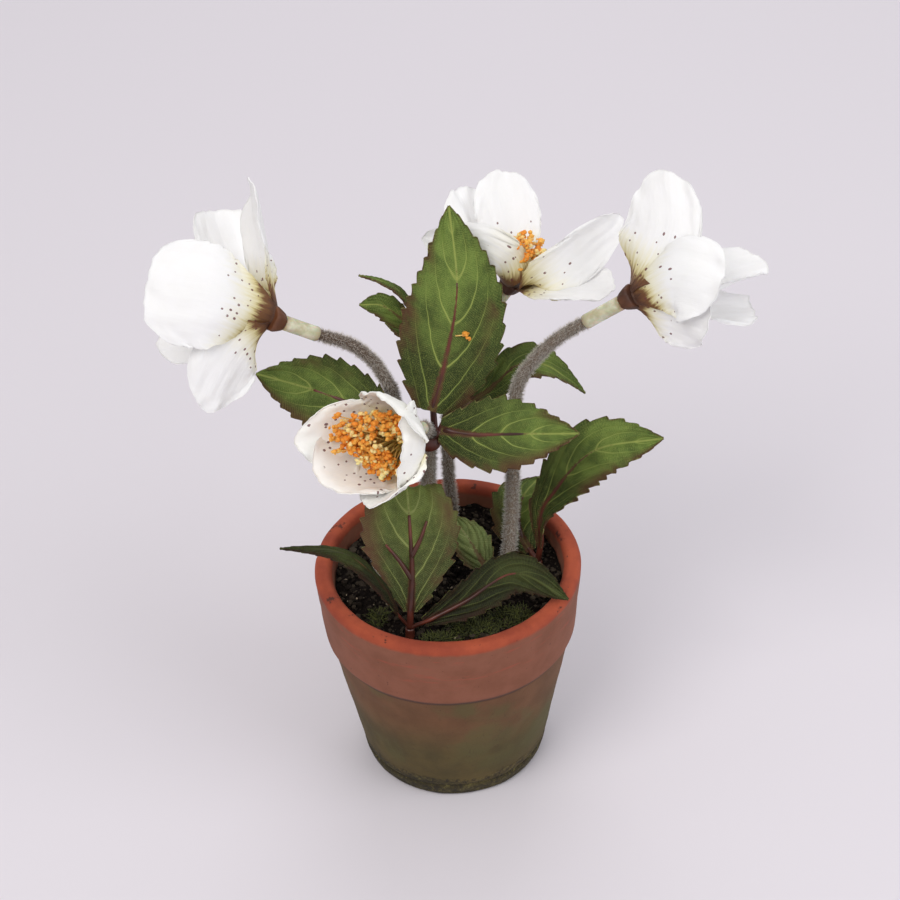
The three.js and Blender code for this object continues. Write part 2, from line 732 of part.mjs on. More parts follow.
/** The flocked length of a stem, grown outwards by `margin`. */
function stemRod(name, margin) {
  const [foot, top] = STEMS[name].radius;
  return taperedRod(stemPath(name), foot + margin, top + margin, STEM.sides);
}

/** A round bar along a neck, between two distances from the end of the flock. */
function neckBar(name, from, to, radius, sides) {
  const { start, along } = neck(name);
  const path = [from, to].map((distance) => start.clone().addScaledVector(along, distance));
  return rod(path, () => radius, sides);
}

function stem(name) {
  const length = Math.min(PIN.length, neck(name).length - PIN.cover - GAP);
  return toGeometry(fused([stemRod(name, 0), neckBar(name, -PIN.sunk, length, PIN.radius, PIN.sides)]));
}

/** A short tube that slips over the pin at the stem's end and carries the bloom. */
function sleeve(name) {
  const { length } = neck(name);
  const depth = Math.min(PIN.length + GAP, length - PIN.cover);
  const socket = neckBar(name, -PIN.sunk, depth, PIN.radius + GAP, PIN.sides);
  const body = toSolid(neckBar(name, GAP, length, SLEEVE.radius, SLEEVE.sides));
  return toGeometry(body.subtract(toSolid(socket)).subtract(toSolid(stemRod(name, GAP))));
}

// ---------------------------------------------------------------- pot and soil

/** Radius of the pot's inside at a height. */
function potInside(height) {
  const { height: top, rimRadius, lipWidth, baseRadius, wall, floor, cove, bellyPower } = POT;
  const share = (height - floor) / (top - floor);
  const bottom = baseRadius - wall + cove;
  return bottom + (rimRadius - lipWidth - bottom) * share ** bellyPower;
}

function pot() {
  const { height, rimRadius, lipWidth, collarHeight, collarFootRadius, bodyTopRadius, baseRadius } = POT;
  const { footHeight, footGroove, floor, edge, bevel, bellyHeight, sides } = POT;
  const collarFoot = height - collarHeight;
  const bodySlope = (bodyTopRadius - baseRadius) / collarFoot;
  const footRadius = baseRadius + bodySlope * footHeight;
  const innerRim = rimRadius - lipWidth;
  const shoulder = SOIL.top - SOIL.shoulder;
  const profile = [
    [0, 0], [baseRadius - edge, 0], [baseRadius, edge],
    [footRadius, footHeight - bevel], [footRadius - footGroove, footHeight],
    [footRadius + bodySlope, footHeight + bevel],
    [bodyTopRadius, collarFoot - bevel],
    [collarFootRadius - bevel, collarFoot], [collarFootRadius, collarFoot + edge],
    [rimRadius, height - edge], [rimRadius - 2 * bevel, height],
    [innerRim + 2 * bevel, height], [innerRim, height - edge],
    [potInside(shoulder), shoulder], [potInside(bellyHeight), bellyHeight],
    [potInside(floor), floor], [0, floor],
  ];
  return turned(profile, new THREE.Vector3(), new THREE.Vector3(0, 0, 1), sides);
}

/** A slow bump of the soil's surface. */
function soilBump(x, y) {
  const { broad, shift, fine, fineShare } = MOUND;
  const wide = Math.sin(broad[0] * x + shift[0]) * Math.cos(broad[1] * y - shift[1]);
  return SOIL.bump * (wide + fineShare * Math.sin(fine[0] * x - fine[1] * y));
}

function soil() {
  const { top, rings, sides, holeFloor, bore } = SOIL;
  const inside = (height) => potInside(height) - 1.5 * GAP;
  const bottom = POT.floor + GAP;
  const shoulder = top - SOIL.shoulder;
  const profile = [[0, bottom], [inside(POT.floor) - GAP, bottom]];
  profile.push([inside(POT.bellyHeight), POT.bellyHeight], [inside(shoulder), shoulder]);
  for (let k = 0; k < rings; k += 1) profile.push([inside(shoulder) * (1 - k / rings), top]);
  profile.push([0, top]);
  const geometry = turned(profile, new THREE.Vector3(), new THREE.Vector3(0, 0, 1), sides);
  const position = geometry.getAttribute("position");
  for (let i = 0; i < position.count; i += 1) {
    if (position.getZ(i) > top - 1) {
      position.setZ(i, top - SOIL.sink + soilBump(position.getX(i), position.getY(i)));
    }
  }
  let solid = toSolid(geometry);
  const bores = [
    ...Object.values(STEMS).map(({ points, radius }) => ({ path: points, radius: radius[0] })),
    ...Object.values(LEAVES).filter(({ petiole }) => petiole)
      .map(({ petiole }) => ({ path: petiole, radius: PETIOLE.foot })),
  ];
  for (const { path, radius } of bores) {
    const [foot, next] = [vector(path[0]), vector(path[1])];
    const along = next.clone().sub(foot).normalize();
    foot.addScaledVector(along, -(foot.z - holeFloor) / along.z);
    const mouth = foot.clone().addScaledVector(along, bore);
    solid = solid.subtract(toSolid(rod([foot, mouth], () => radius + 2 * GAP, STEM.sides)));
  }
  return toGeometry(solid);
}

// ---------------------------------------------------------------- the whole plant

const group = new THREE.Group();

function place(name, geometry, material) {
  const mesh = new THREE.Mesh(geometry, MATERIALS[material].clone());
  mesh.name = name;
  group.add(mesh);
}

place("pot", pot(), "terracotta");
place("soil", soil(), "soil");

Object.entries(BLOOMS).forEach(([name, bloom], order) => {
  place(`stem_${name}`, stem(name), "flock");
  place(`sleeve_${name}`, sleeve(name), "sleeve");
  place(`calyx_${name}`, calyx(name), "calyx");
  const petalSolid = petals(bloom);
  place(`petals_${name}`, toGeometry(petalSolid), "petal");
  place(`stamens_${name}`, stamens(bloom, petalSolid, order + 1), "stamen");
});

for (const [leafName, leaf] of Object.entries(LEAVES)) {
  place(`ribs_${leafName}`, leaf.petiole ? ribsOnPetiole(leaf) : ribsOnStem(leaf), "rib");
  for (const [name, leaflet] of Object.entries(leaf.leaflets)) {
    place(`${leafName}_${name}`, sheet(leafletGrid(leaflet)), "leaf");
  }
}

export default group;
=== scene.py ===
# A potted artificial christmas rose, dressed round its CAD frame: cloth blooms with orange
# stamens, toothed cloth leaflets on moulded ribs, flocked stems, and a weathered terracotta pot.
import random
from functools import partialmethod
from math import cos, dist, hypot, pi, radians, sin, sqrt, tau

import bmesh
import bpy
import numpy as np
from mathutils import Matrix, Vector, noise
from numpy.linalg import norm


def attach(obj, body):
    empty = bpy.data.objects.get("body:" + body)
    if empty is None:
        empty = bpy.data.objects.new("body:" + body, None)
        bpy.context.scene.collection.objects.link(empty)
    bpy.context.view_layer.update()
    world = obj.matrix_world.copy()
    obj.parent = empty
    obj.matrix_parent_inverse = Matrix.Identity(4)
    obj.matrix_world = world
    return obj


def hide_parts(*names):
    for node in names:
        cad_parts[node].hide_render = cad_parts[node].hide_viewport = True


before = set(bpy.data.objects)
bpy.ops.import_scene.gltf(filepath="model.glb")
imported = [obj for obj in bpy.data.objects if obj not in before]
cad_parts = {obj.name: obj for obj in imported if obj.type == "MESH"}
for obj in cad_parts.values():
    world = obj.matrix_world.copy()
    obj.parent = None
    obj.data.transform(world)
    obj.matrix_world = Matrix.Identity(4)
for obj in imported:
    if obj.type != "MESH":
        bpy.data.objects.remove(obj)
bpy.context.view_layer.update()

MM = 0.001  # lengths are in millimetres, as in the frame's own source, except where metres are named

# ---------------- the plant's layout, in mm

POT = {"height": 80.8, "rim": 45.0, "lip": 5.8, "collar": 27.0, "collar_foot": 42.8,
       "body_top": 41.4, "base": 31.0, "foot": 5.5, "wall": 5.0, "floor": 5.0}
SOIL_TOP = 74.2

# Each stem: its radius at the foot and top, how pale its flock is there, and its path.
STEMS = {
    "left": ((2.5, 2.0), (0.45, 0.1), [
        (-21, -1.2, 70), (-21, -1.2, 75), (-23.5, 3, 84.9), (-23.3, 8, 95.2), (-19.1, 13, 110.3),
        (-15, 17, 125.9), (-15.4, 18, 138), (-17.7, 17, 145.5), (-21.5, 16, 153.7), (-28.1, 14, 161.9),
        (-38, 12, 167.7)]),
    "right": ((2.5, 2.0), (0.55, 0.35), [
        (19.6, -0.4, 68), (19.9, 0, 74.2), (22.5, 8, 98.9), (23.5, 13, 124.7), (24.5, 14, 136.3),
        (26.3, 14, 144.4), (29.6, 13, 151), (35.4, 11, 159.7), (42.4, 9, 167), (47, 7.5, 170.8)]),
    "back": ((2.1, 1.9), (0.35, 0.3), [
        (2.1, 28, 68), (2.2, 28.5, 78), (1.6, 31, 105), (2.5, 33, 119), (5.4, 35, 134),
        (10.9, 37, 146.8), (16.6, 38, 153.4)]),
    "front": ((2.6, 2.5), (0.85, 0.8), [
        (-6.7, 7, 68), (-6.6, 7, 75), (-5.3, 7, 107.9), (-4.3, 7.2, 124), (-4.6, 6.8, 130),
        (-6, 4.9, 134)]),
}

# A petal's outline: where along it its sides stop widening, the power of its rim's curve (2 is an
# ellipse, less is pointed, more is square), and the share of its length that the rim takes up.
ROUND, BROAD, POINTED = (0.85, 2.0, 0.36), (0.85, 3.2, 0.28), (0.8, 1.35, 0.55)

# Each bloom: where its petals meet, the way it faces, and its cloth.
BLOOMS = {
    "left": {"base": (-49.8, 8, 176.5), "axis": (-0.86, 0.33, 0.39), "cloth": "petal"},
    "right": {"base": (59.7, 4, 181.2), "axis": (0.96, 0.25, 0.13), "cloth": "petal"},
    "back": {"base": (23.9, 38, 164.7), "axis": (0.42, -0.05, 0.9), "cloth": "petal"},
    "front": {"base": (-9.6, -2, 135.4), "axis": (-0.6, -0.67, 0.44), "cloth": "petal_cream"},
}

# Each petal: midline from the bloom's base, half width, cup, direction across its tip, outline.
PETALS = {
    "left": (
        (((-2.4, -1, 2), (-18.5, -7.5, 16.2), (-39.5, -5.5, 21)), 17, 0.3, (0.25, 0.74, 0.62), BROAD),
        (((-2.2, -2.5, 0), (-14.2, -11, -6), (-24.2, -19, -20.5)), 12, 0.25, (-0.52, -0.17, 0.83),
         (0.7, 1.5, 0.45)),
        (((-1.8, 1.8, 2.3), (-3.2, 17.3, 17.1), (-6.8, 29.3, 35.5)), 11, 0.35, (-0.28, 0.74, -0.62),
         POINTED),
        (((-2.9, 3.7, -0.1), (-15, 25.2, 8.2), (-20.5, 40.2, 17.2)), 11.5, 0.2, (0.72, 0.69, -0.08), BROAD),
        (((-3.7, 2, -2.4), (-21.7, 10.3, -11.2), (-41, 11.1, -13.5)), 15, 0.2, (0.14, 0.97, 0.18), ROUND),
    ),
    "right": (
        (((1, 1.1, 3), (11.5, 11, 19.5), (11.8, 26, 31.5)), 13, 0.2, (0.9, -0.41, 0.14), (0.7, 1.7, 0.5)),
        (((2, -1.6, 2.9), (14.3, -4.5, 11.9), (28.3, -12.5, 12.6)), 14.3, 0.3, (-0.06, 0.83, 0.55), ROUND),
        (((2.3, -2.7, -0.2), (13.2, -7.2, 0.4), (24.5, -16.4, 0.6)), 11.5, 0.28, (0.22, 0.25, 0.94), ROUND),
        (((2.8, 3.5, -0.3), (26, 12, -1), (46.5, 18.5, -0.5)), 13.5, 0.2, (-0.17, 0.98, -0.12), ROUND),
        (((2.7, 1.6, -2.8), (24, 3, -7), (41.2, 5, -10)), 12, 0.2, (-0.08, 0.99, -0.13), BROAD),
    ),
    "back": (
        (((0.1, 2.9, 0.4), (1, 20.1, 12.9), (-0.5, 36.5, 22)), 11, 0.2, (0.98, -0.01, -0.17), ROUND),
        (((-1.2, 1.5, 0.2), (-7.5, 17, 10.5), (-13.5, 33, 18.5)), 10.5, 0.2, (0.85, 0.45, -0.2), ROUND),
        (((-1, -1.5, 0.5), (-6.5, -8.5, 16), (-28, 7, 16)), 10.5, 0.25, (0.54, -0.05, 0.84),
         (0.6, 1.3, 0.6)),
        (((1.8, -1.5, 0), (15, -7, 9.5), (38.5, 9, 19.5)), 8.2, 0.25, (-0.3, 0.3, 0.9), (0.6, 1.7, 0.45)),
        (((1.4, -1.7, 0.2), (17, -8, 4.5), (34.5, -10.5, 6.5)), 12, 0.2, (0.31, 0.95, 0), ROUND),
    ),
    "front": (
        (((0.1, -0.1, 2.2), (-1.5, -4.4, 16.4), (-8.5, -11.3, 25.8)), 14, 0.42, (-0.72, 0.69, 0.06), ROUND),
        (((-2.2, 0.5, 0.1), (-18.9, -0.2, 1.4), (-37.5, -6, 4.6)), 12, 0.45, (0.01, -0.55, -0.83),
         (0.8, 1.4, 0.5)),
        (((-1.9, -0.6, -1.1), (-16.8, -9, -5.2), (-29.5, -19.5, -1)), 14.5, 0.35, (0.8, -0.5, -0.3), ROUND),
        (((-0.5, -1.8, -1.2), (-6.1, -16.7, -6.3), (-14.8, -29, -4.8)), 12.5, 0.42, (0.8, -0.49, 0.35),
         (0.7, 1.1, 0.55)),
        (((1, -1.8, 0.9), (4, -14.2, 6.5), (-2.6, -22.5, 13)), 14.5, 0.4, (0.12, 0.47, 0.88), BROAD),
    ),
}

# Each stamen cluster: how many, the angle that a bunch spreads by, their lengths as shares of its
# length, the size of an anther's crumbs, and where its bunches reach to.
STAMENS = {
    "left": (30, 26, (0.62, 1.12), 0.7, [(-8.2, 3.1, 3.7)]),
    "right": (30, 22, (0.62, 1.12), 0.7, [(9.1, 2.4, 1.2)]),
    "back": (50, 20, (0.62, 1.12), 0.8, [(6.3, -0.8, 13.6)]),
    "front": (153, 11.5, (0.74, 1.04), 0.92, [
        (-22, -4.5, 6), (-16.6, -8, 11.2), (-10.1, -8.3, 13.8), (-3.8, -8.9, 12.7), (-17.2, -10, 4.8),
        (-12.6, -12.5, 3.2), (-10.2, -14.8, 0.5), (-6.2, -15.6, -1.4), (-0.8, -9.3, 10.5)]),
}

# Each leaflet: midrib, direction across (at root and tip, where they differ), half width, fold, where
# it is widest (more is nearer the tip), teeth, and the side of the cloth that its rib is on.
LEAVES = {
    "whorl": {
        "upright": (((-4.7, 7, 132.6), (2.1, 14, 153), (7, 23, 174.8), (5.6, 33, 200.4)),
            ((1, 0, 0.1), (1, 0, 0)), 18, 0.02, 0.85, 13, 1),
        "right": (((-3.7, 5, 133.3), (9.1, 0, 133.9), (25.1, -6, 137.7), (43.7, -12, 141.5)),
            ((0, 0.6, 0.8), (0, 0.7, 0.7)), 13.2, 0.12, 0.9, 10, -1),
        "left": (((-7, 8, 131.2), (-16, 10, 133.9), (-24.8, 15, 134.7), (-42.7, 22, 138.7),
             (-60.1, 25, 143.8)),
            ((0, 0.2, 0.98), (-0.3, 0.7, 0.6)), 13.8, 0.12, 1.15, 11, 1),
        "arching": (((-3, 9, 131.8), (15.6, 21, 135.2), (25.2, 27, 140.5), (35.3, 30, 138.6),
             (48.8, 29, 126.9)),
            ((-0.2, 0.6, 0.75), (-0.2, 0.95, 0.1)), 8, 0.1, 1.6, 9, -1),
    },
    "front_leaf": {
        "centre": (((-13.3, -29, 79.6), (-11.8, -24, 95.6), (-11.7, -17, 108.9), (-12.1, -8, 118.3),
             (-12.6, -1, 111)),
            ((1, 0, 0),), 17, -0.1, 1.25, 11, -1),
        "left": (((-15.5, -30, 80.6), (-21.2, -32, 98.8), (-32.6, -31, 112.3), (-53.3, -29, 114.3)),
            ((0.2, 0.9, -0.35),), 6.5, 0.2, 1.2, 10, 1),
        "right": (((-12.3, -31, 79.1), (4.4, -28.5, 86.9), (21.8, -22, 92.7), (38.9, -26, 83.8)),
            ((-0.3, 0.3, 0.9), (0.1, 0.5, 0.9)), 8.5, 0.1, 1.1, 11, 1),
    },
    "right_leaf": {
        "outer": (((31.2, 2, 76.2), (31.5, 6, 91), (35.7, 8, 100.3), (49.6, 6, 119.8), (71.8, 0, 128.6)),
            ((-0.56, 0.75, 0.46),), 11.5, 0.2, 1.5, 12, -1),
        "inner": (((29.2, 5, 76), (24.9, 12, 83), (26.6, 18, 92), (33, 27, 93.5)),
            ((1, 0, 0),), 11, 0.1, 1.1, 8, 1),
    },
    "inner_leaf": {
        "blade": (((16.3, -5, 75.5), (11.5, -3, 82.3), (7.7, 0, 88.9), (2.1, 6, 95.1)),
            ((0.85, 0.2, 0.45), (0.88, 0.37, 0.3)), 7.2, 0.1, 1.2, 7, 1),
    },
    "back_leaf": {
        "upper": (((-3, 38, 147), (-10, 42, 160.2), (-16.4, 44, 164.8), (-24.8, 46, 167.1)),
            ((0.2, 0.9, -0.35),), 4.5, 0.1, 1, 6, 1),
        "middle": (((-3.7, 35.5, 145), (-10.9, 35.5, 155), (-17.6, 36.5, 160.6), (-25.2, 38, 160.4)),
            ((0.2, 0.6, 0.7),), 5, 0.1, 1.5, 7, 1),
        "lower": (((-3.4, 38, 143), (-8.9, 42, 145), (-12.9, 46, 145.8), (-17.4, 50, 144.4)),
            ((0.2, 0.9, 0.3),), 4, 0.1, 1, 6, 1),
    },
}
LEAF_START = 0.1  # share of the midrib that is bare before the cloth begins
SIDE_VEINS = 4.6  # side veins on each half of a leaflet
VEIN_SLANT, VEIN_BEND = 0.72, 1.8  # how far side veins run on towards the tip, and their curve

# Where each rib frame is rooted: a petiole in the soil, or a collar and perhaps an arm on a stem.
RIB_ROOTS = {
    "whorl": {"stem": "front", "collar": (-4.5, 7.1, 127)},
    "front_leaf": {"petiole": ((-13.4, -29.5, 70), (-13.4, -29.5, 76)), "hub": (-13.4, -29.5, 77.5)},
    "right_leaf": {"petiole": ((30.8, 2.7, 68), (30.6, 3, 74)), "hub": (30.5, 3.4, 75.5)},
    "inner_leaf": {"petiole": ((16.5, -5.7, 68), (16.4, -5.5, 73)), "hub": (16.3, -5.2, 74.5)},
    "back_leaf": {"stem": "back", "collar": (9.6, 36.7, 144), "hub": (0.5, 37, 144.5)},
}

# Where the side ribs run: leaflet, then points as a share along it and millimetres across.
SIDE_RIBS = {
    "front_leaf": (("centre", (0.28, 0), (0.39, -3.8), (0.5, -8.2)),
                   ("centre", (0.42, 0), (0.52, 3.2), (0.62, 5.6))),
}

# ---------------- vectors and curves

OBLIQUE, X_AXIS = np.array([0.31, 0.89, 0.33]), np.array([1.0, 0, 0])
CURVE_SAMPLES = 240
TANGENT_STEP = 0.004  # share of a curve's length that a tangent is taken over, to either side


def unit(v):
    v = np.asarray(v, float)
    return v / np.maximum(norm(v, axis=-1, keepdims=True), 1e-12)


def lerp(a, b, t):
    return a + (b - a) * t


def smoothstep(t, low, high):
    x = np.clip((t - low) / (high - low), 0, 1)
    return x * x * (3 - 2 * x)


def through(points, ts):
    """Points at shares `ts` of the length of a smooth curve through `points`."""
    p = np.asarray(points, float)
    q = np.vstack([2 * p[0] - p[1], p, 2 * p[-1] - p[-2]])
    u = np.linspace(0, len(p) - 1, CURVE_SAMPLES)
    k = np.minimum(u.astype(int), len(p) - 2)
    x = (u - k)[:, None]
    a, b, c, d = q[k], q[k + 1], q[k + 2], q[k + 3]
    curve = 0.5 * (2 * b + (c - a) * x + (2 * a - 5 * b + 4 * c - d) * x**2 + (3 * b - a - 3 * c + d) * x**3)
    run = np.concatenate([[0], np.cumsum(norm(np.diff(curve, axis=0), axis=1))])
    at = np.asarray(ts) * run[-1]
    return np.stack([np.interp(at, run, curve[:, i]) for i in range(3)], -1)


def evenly(points, count):
    """`count` points at equal steps along the smooth curve through `points`."""
    return through(points, np.linspace(0, 1, count))


def arc_length(points, count):
    return norm(np.diff(evenly(points, count), axis=0), axis=1).sum()


def midline(points, ts):
    """(points, unit tangents) at shares ts of the curve's length."""
    ahead = through(points, np.clip(ts + TANGENT_STEP, 0, 1))
    behind = through(points, np.clip(ts - TANGENT_STEP, 0, 1))
    return through(points, ts), unit(ahead - behind)


def across_of(hint, tangent):
    """The direction nearest to hint that is square to tangent."""
    return unit(hint - tangent * (hint * tangent).sum(-1, keepdims=True))


def spokes(count):
    """Angles of equal steps round a circle."""
    return np.arange(count) * tau / count


def on_circle(angle, side, other):
    """Directions at angles in the plane of two directions."""
    return np.cos(angle)[:, None] * side + np.sin(angle)[:, None] * other


def wobble(x, y, z, octaves=3):
    """Smooth noise of arrays, about -1 to 1."""
    flat = np.broadcast_arrays(x, y, z)
    out = [noise.fractal(Vector(p), 1.0, 2.0, octaves) for p in zip(*(f.ravel() for f in flat))]
    return np.array(out).reshape(flat[0].shape)


# ---------------- mesh building


def link(name, data):
    """A new object in the scene."""
    made = bpy.data.objects.new(name, data)
    bpy.context.scene.collection.objects.link(made)
    return made


class Piece:
    """Collects vertices, faces, a material per face and vector attributes, then makes an object."""

    def __init__(self, *attributes):
        self.verts, self.faces, self.mats, self.smooth = [], [], [], []
        self.data = {name: [] for name in attributes}
        self.count = 0

    def add(self, verts, parts, mats=(0, 0, 0), flat=None, **data):
        """Adds points and up to three parts of faces, each with a material; part `flat` isn't smooth."""
        verts = np.asarray(verts, float).reshape(-1, 3)
        for index, part in enumerate(parts):
            self.faces.extend((np.asarray(part) + self.count).tolist())
            self.mats.extend([mats[index]] * len(part))
            self.smooth.extend([index != flat] * len(part))
        for name, store in self.data.items():
            value = np.asarray(data.get(name, (0, 0, 0)), float)
            store.append(np.broadcast_to(value, verts.shape) if value.ndim < 2 else value.reshape(-1, 3))
        self.verts.append(verts)
        self.count += len(verts)

    def make(self, name, materials, slot, *nodes, smooth=True):
        mesh = bpy.data.meshes.new(name)
        mesh.from_pydata((np.vstack(self.verts) * MM).tolist(), [], self.faces)
        for material in materials:
            mesh.materials.append(MATERIALS[material])
        mesh.polygons.foreach_set("material_index", np.array(self.mats, np.int32))
        mesh.polygons.foreach_set("use_smooth", np.array(self.smooth) & smooth)
        for key, store in self.data.items():
            layer = mesh.attributes.new(key, "FLOAT_VECTOR", "POINT")
            layer.data.foreach_set("vector", np.vstack(store).astype(np.float32).ravel())
        mesh.update()
        made = link(name, mesh)
        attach(made, "root")
        if nodes:
            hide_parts(*nodes)


def xyz(a, b=0, c=0):
    """Rows of three from numbers or arrays."""
    return np.stack(np.broadcast_arrays(a, b, c), -1)


def grid_faces(rows, columns, wrap=False):
    """Quads between rows of points; with wrap, each row closes on itself."""
    index = np.arange(rows * columns).reshape(rows, columns)
    after = np.roll(index, -1, axis=1)
    quads = np.stack([index[:-1], after[:-1], after[1:], index[1:]], -1)
    return (quads if wrap else quads[:, :-1]).reshape(-1, 4)


def tube(path, radii, sides):
    """(verts, faces) of a closed round tube along a path: its rings, then the middles of its ends."""
    path = np.asarray(path, float)
    tangents = unit(np.gradient(path, axis=0))
    side = across_of(OBLIQUE, tangents[0])
    angle = spokes(sides)
    rings = []
    for point, tangent, radius in zip(path, tangents, np.broadcast_to(radii, len(path))):
        side = across_of(side, tangent)
        rings.append(point + radius * on_circle(angle, side, np.cross(tangent, side)))
    verts = np.vstack([np.concatenate(rings), path[:1], path[-1:]])
    first, last = np.arange(sides), np.arange(sides) + (len(path) - 1) * sides
    caps = [xyz(len(verts) - 2, np.roll(first, -1), first), xyz(len(verts) - 1, last, np.roll(last, -1))]
    return verts, [grid_faces(len(path), sides, wrap=True), *caps]


def by_ring(values, sides):
    """A value for each point of a tube, from one for each ring."""
    return np.append(np.repeat(values, sides), [values[0], values[-1]])


def turned(profile, base, axis, sides, dent=None):
    """(verts, faces) of a turned body: (radius, height) pairs along axis; ends on the axis close it."""
    axis = unit(axis)
    side = across_of(OBLIQUE if abs(axis[2]) < 0.9 else X_AXIS, axis)
    angle = spokes(sides)
    radius, height = np.array(profile, float).T
    radius, height = np.broadcast_arrays(radius[:, None], height[:, None] + 0 * angle)
    radius = np.maximum(radius, 0.001)
    if dent is not None:
        radius, height = dent(radius, height, angle)
    ring = on_circle(angle, side, np.cross(axis, side))
    verts = np.asarray(base, float) + radius[..., None] * ring + height[..., None] * axis
    return verts.reshape(-1, 3), [grid_faces(len(profile), sides, wrap=True)[:, ::-1]]


def rounded(corners, radius, steps=5):
    """A profile with its inner corners rounded: each becomes a short arc-like curve."""
    points = [corners[0]]
    for three in zip(corners, corners[1:], corners[2:]):
        before, corner, after = map(np.asarray, three)
        start, end = (corner + unit(end - corner) * min(radius, norm(end - corner) / 2.1)
                      for end in (before, after))
        for t in np.linspace(0, 1, steps):
            points.append(tuple((1 - t) ** 2 * start + 2 * t * (1 - t) * corner + t**2 * end))
    return points + [corners[-1]]


def sheet(piece, grid, thickness, upper, under=0, **data):
    """Adds a closed sheet over a grid of points. `upper` is +1 where the grid's normal side is the upper
    one; the under side and the rim have the material of number `under`."""
    rows, columns = grid.shape[:2]
    normal = unit(np.cross(np.gradient(grid, axis=0), np.gradient(grid, axis=1))) * upper
    faces = grid_faces(rows, columns)
    count = rows * columns
    index = np.arange(count).reshape(rows, columns)
    edge = np.concatenate([index[0], index[1:, -1], index[-1, -2::-1], index[-2:0:-1, 0]])
    after = np.roll(edge, -1)
    rim = np.stack([edge, edge + count, after + count, after], -1)
    if upper < 0:
        faces, rim = faces[:, ::-1], rim[:, ::-1]
    verts = [(grid + normal * thickness / 2 * way).reshape(-1, 3) for way in (1, -1)]
    doubled = {name: np.concatenate([np.asarray(v).reshape(-1, 3)] * 2) for name, v in data.items()}
    parts = [faces[:, ::-1], faces + count, rim]
    piece.add(np.concatenate(verts), parts, mats=(0, under, under), flat=2, **doubled)


def icosphere():
    """(verts, faces) of a unit ball of 80 triangles."""
    shape = bmesh.new()
    bmesh.ops.create_icosphere(shape, subdivisions=1, radius=1)
    verts = np.array([v.co[:] for v in shape.verts])
    faces = np.array([[v.index for v in f.verts] for f in shape.faces])
    shape.free()
    return verts, faces


BALL_VERTS, BALL_FACES = icosphere()


def lump(piece, centre, size, draw, at):
    """A small angular crumb."""
    verts = BALL_VERTS * np.array([draw.uniform(0.6, 1.3), draw.uniform(0.6, 1.3), draw.uniform(0.5, 1)])
    verts = verts * (1 + np.array([draw.uniform(-0.25, 0.25) for _ in range(len(verts))]))[:, None]
    turn = draw.uniform(0, tau)
    spin = np.array([[cos(turn), -sin(turn), 0], [sin(turn), cos(turn), 0], [0, 0, 1]])
    piece.add(verts @ spin.T * size + centre, [BALL_FACES], at=at)


# ---------------- materials

MATERIALS = {}  # every material of the scene by its name


def srgb(*display):
    """A linear RGBA colour from 0-255 display values."""
    shares = (c / 255 for c in display)
    return *(c / 12.92 if c <= 0.04045 else ((c + 0.055) / 1.055) ** 2.4 for c in shares), 1.0


class Shader:
    """A node material on one Principled shader, painted in layers. A colour is a node's socket or a
    triple of 0-255 display values."""

    def __init__(self, name, **sockets):
        self.material = MATERIALS[name] = bpy.data.materials.new(name)
        self.material.use_nodes = True
        self.tree = self.material.node_tree
        self.shader = self.tree.nodes["Principled BSDF"]
        self.colour = None
        for key, value in sockets.items():
            self.shader.inputs[key.replace("_", " ").title().replace("Ior", "IOR")].default_value = value

    def node(self, kind, settings, *values, **inputs):
        made = self.tree.nodes.new("ShaderNode" + kind)
        for key, value in settings.items():
            setattr(made, key, value)
        for key, value in (*enumerate(values), *inputs.items()):
            self.put(made.inputs[key], value)
        return made.outputs

    def put(self, socket, value):
        if isinstance(value, bpy.types.NodeSocket):
            self.tree.links.new(value, socket)
        else:
            socket.default_value = value

    def math(self, operation, *values):
        return self.node("Math", {"operation": operation}, *values)[0]

    plus, minus = partialmethod(math, "ADD"), partialmethod(math, "SUBTRACT")
    times, size = partialmethod(math, "MULTIPLY"), partialmethod(math, "ABSOLUTE")

    def swing(self, fac, reach):
        """A noise as a shift to either side of zero, `reach` from one end to the other."""
        return self.times(self.minus(fac, 0.5), reach)

    def step(self, value, low, high, top=1.0):
        """0 below low and `top` above high, smooth between; low above high turns it round."""
        return self.node("MapRange", {"interpolation_type": "SMOOTHSTEP"}, value, low, high, 0.0, top)[0]

    def mix(self, share, a, b):
        a, b = (srgb(*colour) if isinstance(colour, tuple) else colour for colour in (a, b))
        made = self.tree.nodes.new("ShaderNodeMix")
        made.data_type = "RGBA"
        for index, value in ((0, share), (6, a), (7, b)):
            self.put(made.inputs[index], value)
        return made.outputs[2]

    def paint(self, colour, *shares):
        """Lays a colour over those before, as strong as the product of the shares. A share may be what
        step() takes."""
        share, *more = (self.step(*share) if isinstance(share, tuple) else share for share in shares)
        for factor in more:
            share = self.times(share, factor)
        self.colour = self.mix(share, self.colour, colour)

    def split(self, vector):
        return self.node("SeparateXYZ", {}, vector)

    def attribute(self, name):
        """An attribute of the mesh: the vector, then its three parts."""
        vector = self.node("Attribute", {"attribute_name": name})["Vector"]
        return vector, *self.split(vector)

    def place(self):
        """Where the point is in the object, in metres."""
        return self.node("TexCoord", {})["Object"]

    def noise(self, scale, vector=None, detail=3.0, roughness=0.55):
        vector = vector or self.place()
        return self.node("TexNoise", {}, vector, Scale=scale, Detail=detail, Roughness=roughness)["Fac"]

    def scaled(self, vector, *factors):
        return self.node("VectorMath", {"operation": "MULTIPLY"}, vector, factors)[0]

    def bump(self, height, distance, strength=1.0, **under):
        return self.node("Bump", {}, Height=height, Distance=distance * MM, Strength=strength, **under)[0]

    def finish(self, normal=None):
        self.put(self.shader.inputs["Base Color"], self.colour)
        if normal is not None:
            self.put(self.shader.inputs["Normal"], normal)
        return self.material


